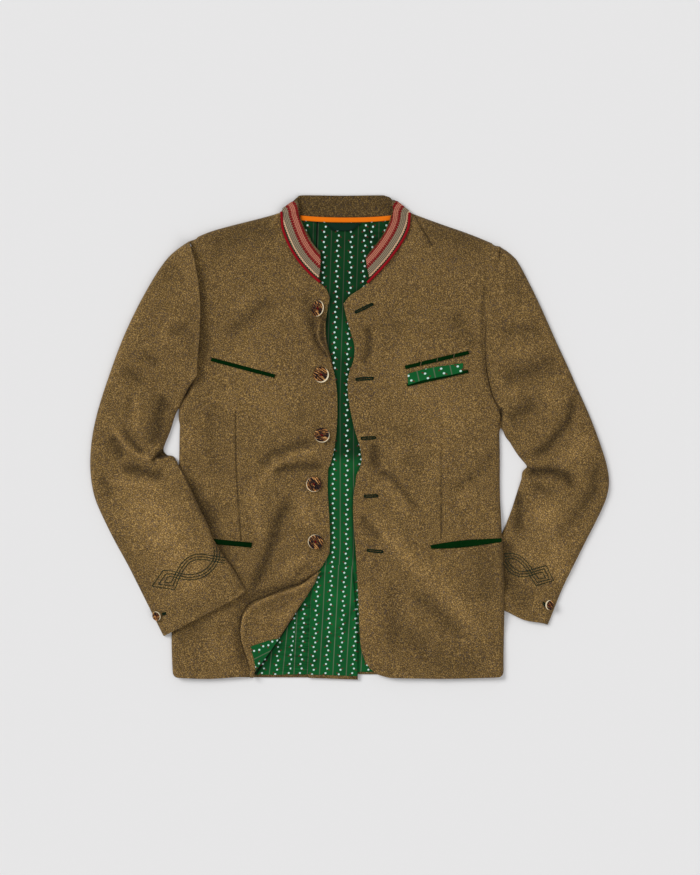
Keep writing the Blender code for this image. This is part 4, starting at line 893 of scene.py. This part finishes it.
welts = {}
for node, light, flat, area in (
    ("welt_chest_right", 1.45, (0.106, 0.01), 0.00065),
    ("welt_chest_left", 1.6, (0.105, 0.01), 0.00065),
    ("welt_square_left", 1.6, (0.1, 0.01), 0.00055),
    ("welt_hip_right", 1.2, (0.066, 0.01), 0.00055),
    ("welt_hip_left", 1.75, (0.115, 0.0115), 0.0011),
):
    side = "right" if "right" in node else "left"
    cloth = front_right if side == "right" else front_left
    welt = settle(tailored(node, 2), nodes["front_" + side], cloth, 0.6)
    if node == "welt_hip_left":
        welt = coax(welt, (236, -165, 34, 8.5, 1.0), (225, -161, 70, 0, 0.9), (225, -171, 70, 0, -0.7))
    welts[node] = dress(welt, node, velvet(node + "_velvet", light))
    "front_" + side
square = tailored("pocket_square")
points = plan_of(square)  # the square is drawn down until its foot is behind the welt
along = (points[:, 0] - 92) / 89
points[:, 1] += (points[:, 1] - 104 - 15 * along) * (0.68 + 0.2 * along) - 2.2 * (1 - along)
settle(reshape(square, points), nodes["front_left"], front_left, 0.8)
dress(square, "pocket_square",
      printed("square_print", turn=-12.4, origin=(109.0, 96.6), light=1.12, wide=1.25))


# ---------------------------------------------------------------- buttons
# Slices of stag antler: dark streaked pith, and on one side the pale rim of the horn. Two holes, sewn
# with dark red thread. The small ones fasten the cuffs.

def antler(name, centre, oval, grain_turn, rim_way, rim_share):
    """Streaked pith, and the pale rim that shows widest one way: angles in degrees, sizes in millimetres."""
    horn = Finish(name, 0.45, Specular_IOR_Level=0.12, Coat_Weight=0.04, Coat_Roughness=0.3)
    half_wide, half_high, lean = oval
    streaked = horn.stretched(horn.turned(-grain_turn, centre), 0.12, 1.0, 1.0)
    grain = horn.noise(0.52, 2.0, streaked, Roughness=0.7)
    pores = horn.noise(1.1, 2.0)
    pith = horn.ramp(grain + pores * 0.30 - 0.15, (0.46, (0.006, 0.003, 0.004)), (0.52, (0.026, 0.012, 0.010)),
                     (0.555, (0.17, 0.058, 0.012)), (0.60, (0.48, 0.19, 0.035)), (0.68, (0.68, 0.41, 0.17)))
    x, y, _ = horn.split(horn.turned(-lean, centre))
    way = math.radians(rim_way - lean)
    u, v = x / half_wide + rim_share * math.cos(way), y / half_high + rim_share * math.sin(way)
    rim = (u * u + v * v).math("SQRT").between(0.955, 1.01)
    colour = horn.mix(rim, pith, (0.80, 0.68, 0.46))
    return horn.surface(colour, grain + pores * 0.4, 0.5, grain * 0.3 + 0.25)


# shares of a button's radius: how far each hole is from the middle, the hole's radius and the thread's
HOLE_AT, HOLE, THREAD = 0.13, 0.075, 0.085
SEWN_TO = {"cuff_button_left": ("sleeve_left_top", sleeves["left"]),
           "cuff_button_right": ("sleeve_right_top", sleeves["right"])}


def primitive(name, add, **sizes):
    """One of Blender's own meshes, as the only object selected."""
    bpy.ops.object.select_all(action="DESELECT")
    add(**sizes)
    made = bpy.context.object
    made.name = made.data.name = name
    return made


def button(node, shift, oval, grain_turn, rim_way, rim_share):
    half_wide, radius, lean = oval
    cap = max((p for p in nodes[node].data.polygons if p.normal.z > 0.8), key=lambda p: p.area)
    low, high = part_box(node)
    centre = (low + high) / 2
    thick = 2 * abs((cap.center - centre).dot(cap.normal))
    under, cloth = SEWN_TO.get(node, ("front_right", front_right))
    ring = np.array([(math.cos(k), math.sin(k)) for k in range(7)]) * radius * 0.5 + np.array(centre.xy) / MM
    risen = heights(*ring.T, cloth) - heights(*ring.T, nodes[under])
    centre += Vector((*shift, float(np.mean(risen)) + 0.3)) * MM
    cylinder, torus = bpy.ops.mesh.primitive_cylinder_add, bpy.ops.mesh.primitive_torus_add
    made = primitive(node + "_horn", cylinder, vertices=56, radius=radius * MM, depth=thick)
    bpy.ops.object.mode_set(mode="EDIT")
    mesh = bmesh.from_edit_mesh(made.data)
    for face in mesh.faces:
        face.select = face.normal.z > 0.9
    bmesh.update_edit_mesh(made.data)
    for share in (0.14, 0.30):  # the top is dished in two steps
        bpy.ops.mesh.inset(thickness=radius * share * MM)
        bpy.ops.transform.translate(value=(0, 0, -0.35 * MM))
    bpy.ops.object.mode_set(mode="OBJECT")
    eased = made.modifiers.new("eased", "BEVEL")
    eased.width, eased.segments, eased.limit_method = 0.7 * MM, 3, "ANGLE"
    bpy.ops.object.modifier_apply(modifier=eased.name)
    for hole_x in (-HOLE_AT, HOLE_AT):
        drill = primitive("drill", cylinder, vertices=12, radius=radius * HOLE * MM, depth=4 * thick,
                          location=(hole_x * radius * MM, 0, 0))
        bore = made.modifiers.new("bore", "BOOLEAN")
        bore.operation, bore.object = "DIFFERENCE", drill
        bpy.context.view_layer.objects.active = made
        bpy.ops.object.modifier_apply(modifier=bore.name)
        bpy.data.objects.remove(drill)
    made.data.shade_smooth()
    made.data.set_sharp_from_angle(angle=math.radians(35))
    placed = Matrix.Translation(centre) @ Vector((0, 0, 1)).rotation_difference(cap.normal).to_matrix().to_4x4()
    placed = placed @ Matrix.Rotation(math.radians(lean), 4, "Z")
    made.data.transform(placed @ Matrix.Diagonal((half_wide / radius, 1, 1, 1)))
    slice_of = antler(node + "_antler", tuple(centre.xy / MM), oval, grain_turn, rim_way, rim_share)
    dress(made, node, slice_of)
    thread = primitive(node + "_thread", torus, major_segments=24, minor_segments=8,
                       major_radius=radius * HOLE_AT * MM, minor_radius=radius * THREAD * MM)
    spun = Matrix.Rotation(math.radians(grain_turn), 4, "Z") @ Matrix.Rotation(math.pi / 2, 4, "X")
    thread.data.transform(placed @ Matrix.Translation((0, 0, thick / 2 - 0.65 * MM)) @ spun)
    thread.data.shade_smooth()
    cotton = plain_weave(node + "_cotton", (0.15, 0.0008, 0.007), (0.09, 0.0005, 0.004), 0.95, 2.0)
    thread.data.materials.append(cotton)
    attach(thread, "root")


# each button's shift in plan, its oval (half width, half height, lean), the way of its grain, and the way
# and share of its pale rim
BUTTONS = {
    "button_1": ((-3.2, 0.4), (9.6, 12.9, -14), -58, -10, 0.13),
    "button_2": ((-2.2, 0.3), (12.3, 12.6, 0), -33, -38, 0.17),
    "button_3": ((0.0, 0.6), (12.3, 11.6, -10), -8, -62, 0.09),
    "button_4": ((-0.8, 1.2), (12.3, 12.1, 0), -55, 215, 0.06),
    "button_5": ((-1.3, 0.2), (12.1, 11.7, -20), -52, 160, 0.06),
    "cuff_button_left": ((3.0, 0.0), (6.6, 7.9, 0), -48, 170, 0.26),
    "cuff_button_right": ((-3.2, 1.8), (6.9, 7.6, 25), 60, 25, 0.24),
}
for node, measures in BUTTONS.items():
    button(node, *measures)


# ---------------------------------------------------------------- buttonholes
# Worked by hand in dark green silk twist: close purl stitches all round the slit, with an eyelet at the
# end near the edge.

BUTTONHOLES = [((7.7, 199.7), (37.2, 214.0)), ((8.7, 93.0), (38, 94.8)), ((17, -1.4), (42, -0.2)),
               ((22, -94.0), (45.1, -93.0)), ((26.6, -180.2), (53.2, -183.0))]
STITCHES = 52
# half the distance between the rows, half a stitch's thickness, and how much wider the eyelet is
ROW, TWIST, EYELET = 1.65, 1.12, 1.32


def silk(name):
    return plain_weave(name, (0.0013, 0.017, 0.0062), (0.0005, 0.009, 0.003), 0.9, 1.4)


for number, (eye_end, back_end) in enumerate(BUTTONHOLES, 1):
    start, end = Vector(eye_end), Vector(back_end)
    half = (end - start).length / 2 - ROW - TWIST
    hole = primitive(f"buttonhole_{number}", bpy.ops.mesh.primitive_torus_add, major_segments=2 * STITCHES,
                     minor_segments=10, major_radius=ROW * MM, minor_radius=TWIST * MM)
    for vert in hole.data.vertices:
        round_it = math.atan2(vert.co.y, vert.co.x)
        ring = round(round_it / math.tau * 2 * STITCHES)
        spine = Vector((math.cos(round_it), math.sin(round_it), 0)) * ROW * MM
        vert.co = spine + (vert.co - spine) * (1.10 if ring % 2 else 0.86)
        vert.co.y *= EYELET if abs(round_it) > 2.2 else 1.0
        vert.co.x += half * max(-1.0, min(1.0, math.cos(round_it) * 1.9)) * MM
        vert.co.z += 0.55 * MM
    middle = (start + end) / 2
    heading = math.atan2(end.y - start.y, end.x - start.x)
    moved = Matrix.Translation((middle.x * MM, middle.y * MM, 0))
    hole.data.transform(moved @ Matrix.Rotation(heading, 4, "Z"))
    points = plan_of(hole)
    points[:, 2] += heights(points[:, 0], points[:, 1], front_left) + 0.25
    reshape(hole, points)
    hole.data.shade_smooth()
    hole.data.materials.append(silk(hole.name + "_silk"))
    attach(hole, "root")


# ---------------------------------------------------------------- stitched ornament
# Each cuff has a line of couched cord: lozenges one in another, and two bands of three green cords that
# cross on their way to the seam. Small bars hold the cuff buttons, and pale stitches close the chest welt.

CORD = 0.55
CORD_GREENS = (0.008, 0.026, 0.014), (0.005, 0.015, 0.008)


def round_cord(name, lines, radius, roundness):
    """A round cord along each line of points in millimetres."""
    path = bpy.data.curves.new(name, "CURVE")
    path.dimensions, path.use_fill_caps = "3D", True
    path.bevel_depth, path.bevel_resolution = radius * MM, roundness
    for line in lines:
        spline = path.splines.new("POLY")
        spline.points.add(len(line) - 1)
        for point, place in zip(spline.points, line):
            point.co = (*(measure * MM for measure in place), 1)
    into_scene(name, path)
    bpy.ops.object.convert(target="MESH")
    cord = bpy.context.object
    cord.data.shade_smooth()
    return cord


def couched(name, lines, surface, radius=CORD, thread=None):
    """Cords sewn along lines in plan, half sunk into the nap of the cloth."""
    level = iter(heights(*np.array([p for line in lines for p in line]).T, surface) + radius * 0.9)
    cord = round_cord(name, [[(x, y, next(level)) for x, y in line] for line in lines], radius, 1)
    cord.data.materials.append(thread or silk(name + "_silk"))
    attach(cord, "root")


def between(a, b, spacing=1.6):
    count = max(2, round(math.dist(a, b) / spacing))
    return [(a[0] + (b[0] - a[0]) * k / count, a[1] + (b[1] - a[1]) * k / count) for k in range(count + 1)]


def braid(middle, apart):
    """Three cords side by side along a middle line, which is first rounded."""
    points = [Vector(p) for p in middle]
    fine = []
    for k in range(len(points) - 1):
        a, b, c, d = points[max(k - 1, 0)], points[k], points[k + 1], points[min(k + 2, len(points) - 1)]
        for t in (0.0, 0.2, 0.4, 0.6, 0.8):
            bend, sway = 2 * a - 5 * b + 4 * c - d, 3 * b - a - 3 * c + d
            fine.append(0.5 * (2 * b + (c - a) * t + bend * t**2 + sway * t**3))
    fine.append(points[-1])
    lines = []
    for side in (-apart, 0, apart):
        line = []
        for k, point in enumerate(fine):
            way = (fine[min(k + 1, len(fine) - 1)] - fine[max(k - 1, 0)]).normalized()
            line.append((point.x - way.y * side, point.y + way.x * side))
        lines.append(line)
    return lines


def cuff_cords(rings, to_foot, to_head, apart=4.2):
    """Each cord comes down one braid, runs round its lozenge and goes back up the other."""
    cords = []
    for (head, far, foot), down, up in zip(rings, braid(to_foot, apart), braid(to_head, apart)[::-1]):
        bends = [down[-1], foot, far, head, up[-1]]
        cords.append(down[:-1] + [p for a, b in zip(bends, bends[1:]) for p in between(a, b)[:-1]] + up[::-1])
    return cords


RIGHT_CUFF = cuff_cords(
    [((-298.2, -212), (-316.8, -238), (-279.8, -243)), ((-294.6, -218.4), (-306.2, -235), (-282.8, -237)),
     ((-291.6, -223.4), (-296.4, -231.6), (-286.2, -232))],
    [(-199.5, -196.4), (-208, -195.0), (-221.2, -192.8), (-235.2, -190.4), (-247.2, -191.0), (-258.2, -196),
     (-267.2, -206), (-274.8, -219), (-278, -226)],
    [(-214, -174), (-212.4, -182), (-213.4, -192.2), (-217.2, -201.2), (-223.2, -209.2), (-233.2, -217.2),
     (-245.2, -221.8), (-257.2, -223.0), (-267.2, -221.8), (-277.2, -219.6), (-285, -217.4)], -4.2)
LEFT_CUFF = cuff_cords(
    [((313.4, -204.8), (325.8, -228.8), (297.8, -237)), ((310.4, -210), (318.8, -226.8), (299.2, -231.6)),
     ((307.4, -215), (312.6, -224.4), (302.4, -226.4))],
    [(247.5, -190.6), (259.8, -189.6), (270.8, -193.6), (279.8, -202.0), (287.2, -212.0), (292.8, -222.0)],
    [(248.4, -198), (254.8, -208), (262.8, -215.0), (272.8, -218.4), (283.8, -217.6), (292.8, -215.0)])
BARS = {"right": [((-300.5, -281.5), (-294.5, -279.5)), ((-299.5, -284), (-294, -281.5))],
        "left": [((313.5, -267), (308.5, -263.5)), ((313, -269.5), (309, -267))]}
for side, cords, thread in (("right", RIGHT_CUFF, "cord_green"), ("left", LEFT_CUFF, "cord_green_left")):
    couched(f"ornament_{side}", cords, sleeves[side], thread=plain_weave(thread, *CORD_GREENS, 0.8, 1.4))
for side, bars in BARS.items():
    couched(f"cuff_bar_{side}", [between(*bar) for bar in bars], sleeves[side], 1.1)
stitched = (113.3, 117.9), (139.7, 125.0), (166.1, 130.4)
closing = [between((x - 0.7, y - 3.2), (x + 0.7, y + 3.2)) for x, y in stitched]
couched("welt_stitches", closing, welts["welt_chest_left"], 0.55,
        plain_weave("welt_thread", (0.16, 0.12, 0.06), (0.08, 0.06, 0.03), 0.85))


# ---------------------------------------------------------------- armhole seams
# The sleeves are set in with a plain seam. Its turnings are of loden, and lie under the cloth, where they
# close the seam from below.

for side, line in (("left", ARMHOLE_LEFT), ("right", ARMHOLE_RIGHT)):
    dense = [p for a, b in zip(line, line[1:]) for p in between(a, b, 4.0)[:-1]]
    dense = dense[:-3]  # it ends short of the shoulder's edge
    px, py = np.array(dense).T
    beneath = [heights(px + reach, py, front_left, front_right, sleeves[side]) for reach in (-2.5, 2.5)]
    level = np.maximum(np.minimum(*beneath) - 2.2, 1.6)
    turning = round_cord(f"armhole_seam_{side}", [list(zip(px, py, level))], 1.5, 2)
    # the turnings' loden is dimmed to 0.6: painted shade in the seam's groove
    turning.data.materials.append(loden(turning.name + "_loden", 0.6))
    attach(turning, "root")


# ---------------------------------------------------------------- stage
# A pale seamless floor, a broad soft light from above on the wearer's right with a weaker one opposite, and
# a camera straight above.

floor = primitive("floor", bpy.ops.mesh.primitive_plane_add, size=12, location=(0, 0, -0.0005))
paper = Finish("floor_paper", 0.9)
paper.surface(paper.mix(paper.noise(0.004) * 0.02, (0.80, 0.793, 0.793), (0.78, 0.775, 0.775)))
floor.data.materials.append(paper.material)

for name, towards, strength, spread in (
    ("key", (0.72, -0.42, -0.72), 1.9, 28),
    ("fill", (-0.5, 0.55, -0.9), 0.75, 45),
):
    lamp = bpy.data.lights.new(name, "SUN")
    lamp.energy, lamp.angle = strength, math.radians(spread)
    into_scene(name, lamp).rotation_euler = Vector(towards).to_track_quat("-Z", "Y").to_euler()
world = bpy.data.worlds.new("studio")
world.use_nodes = True
sky = world.node_tree.nodes["Background"].inputs
sky["Color"].default_value, sky["Strength"].default_value = (0.98, 0.99, 1.0, 1), 0.42
bpy.context.scene.world = world
bpy.context.scene.view_settings.view_transform = "Standard"

eye = bpy.data.cameras.new("camera")
eye.lens, eye.sensor_width, eye.sensor_fit = 150.0, 36.0, "AUTO"
eye.clip_end = 100.0
FRAME_HEIGHT, LEVEL = 1.4, 0.006  # metres: what the camera takes in from top to bottom, and at which height
camera = into_scene("camera", eye)
camera.location = (0, 0, FRAME_HEIGHT / 2 / (eye.sensor_width / 2 / eye.lens) + LEVEL)
bpy.context.scene.camera = camera
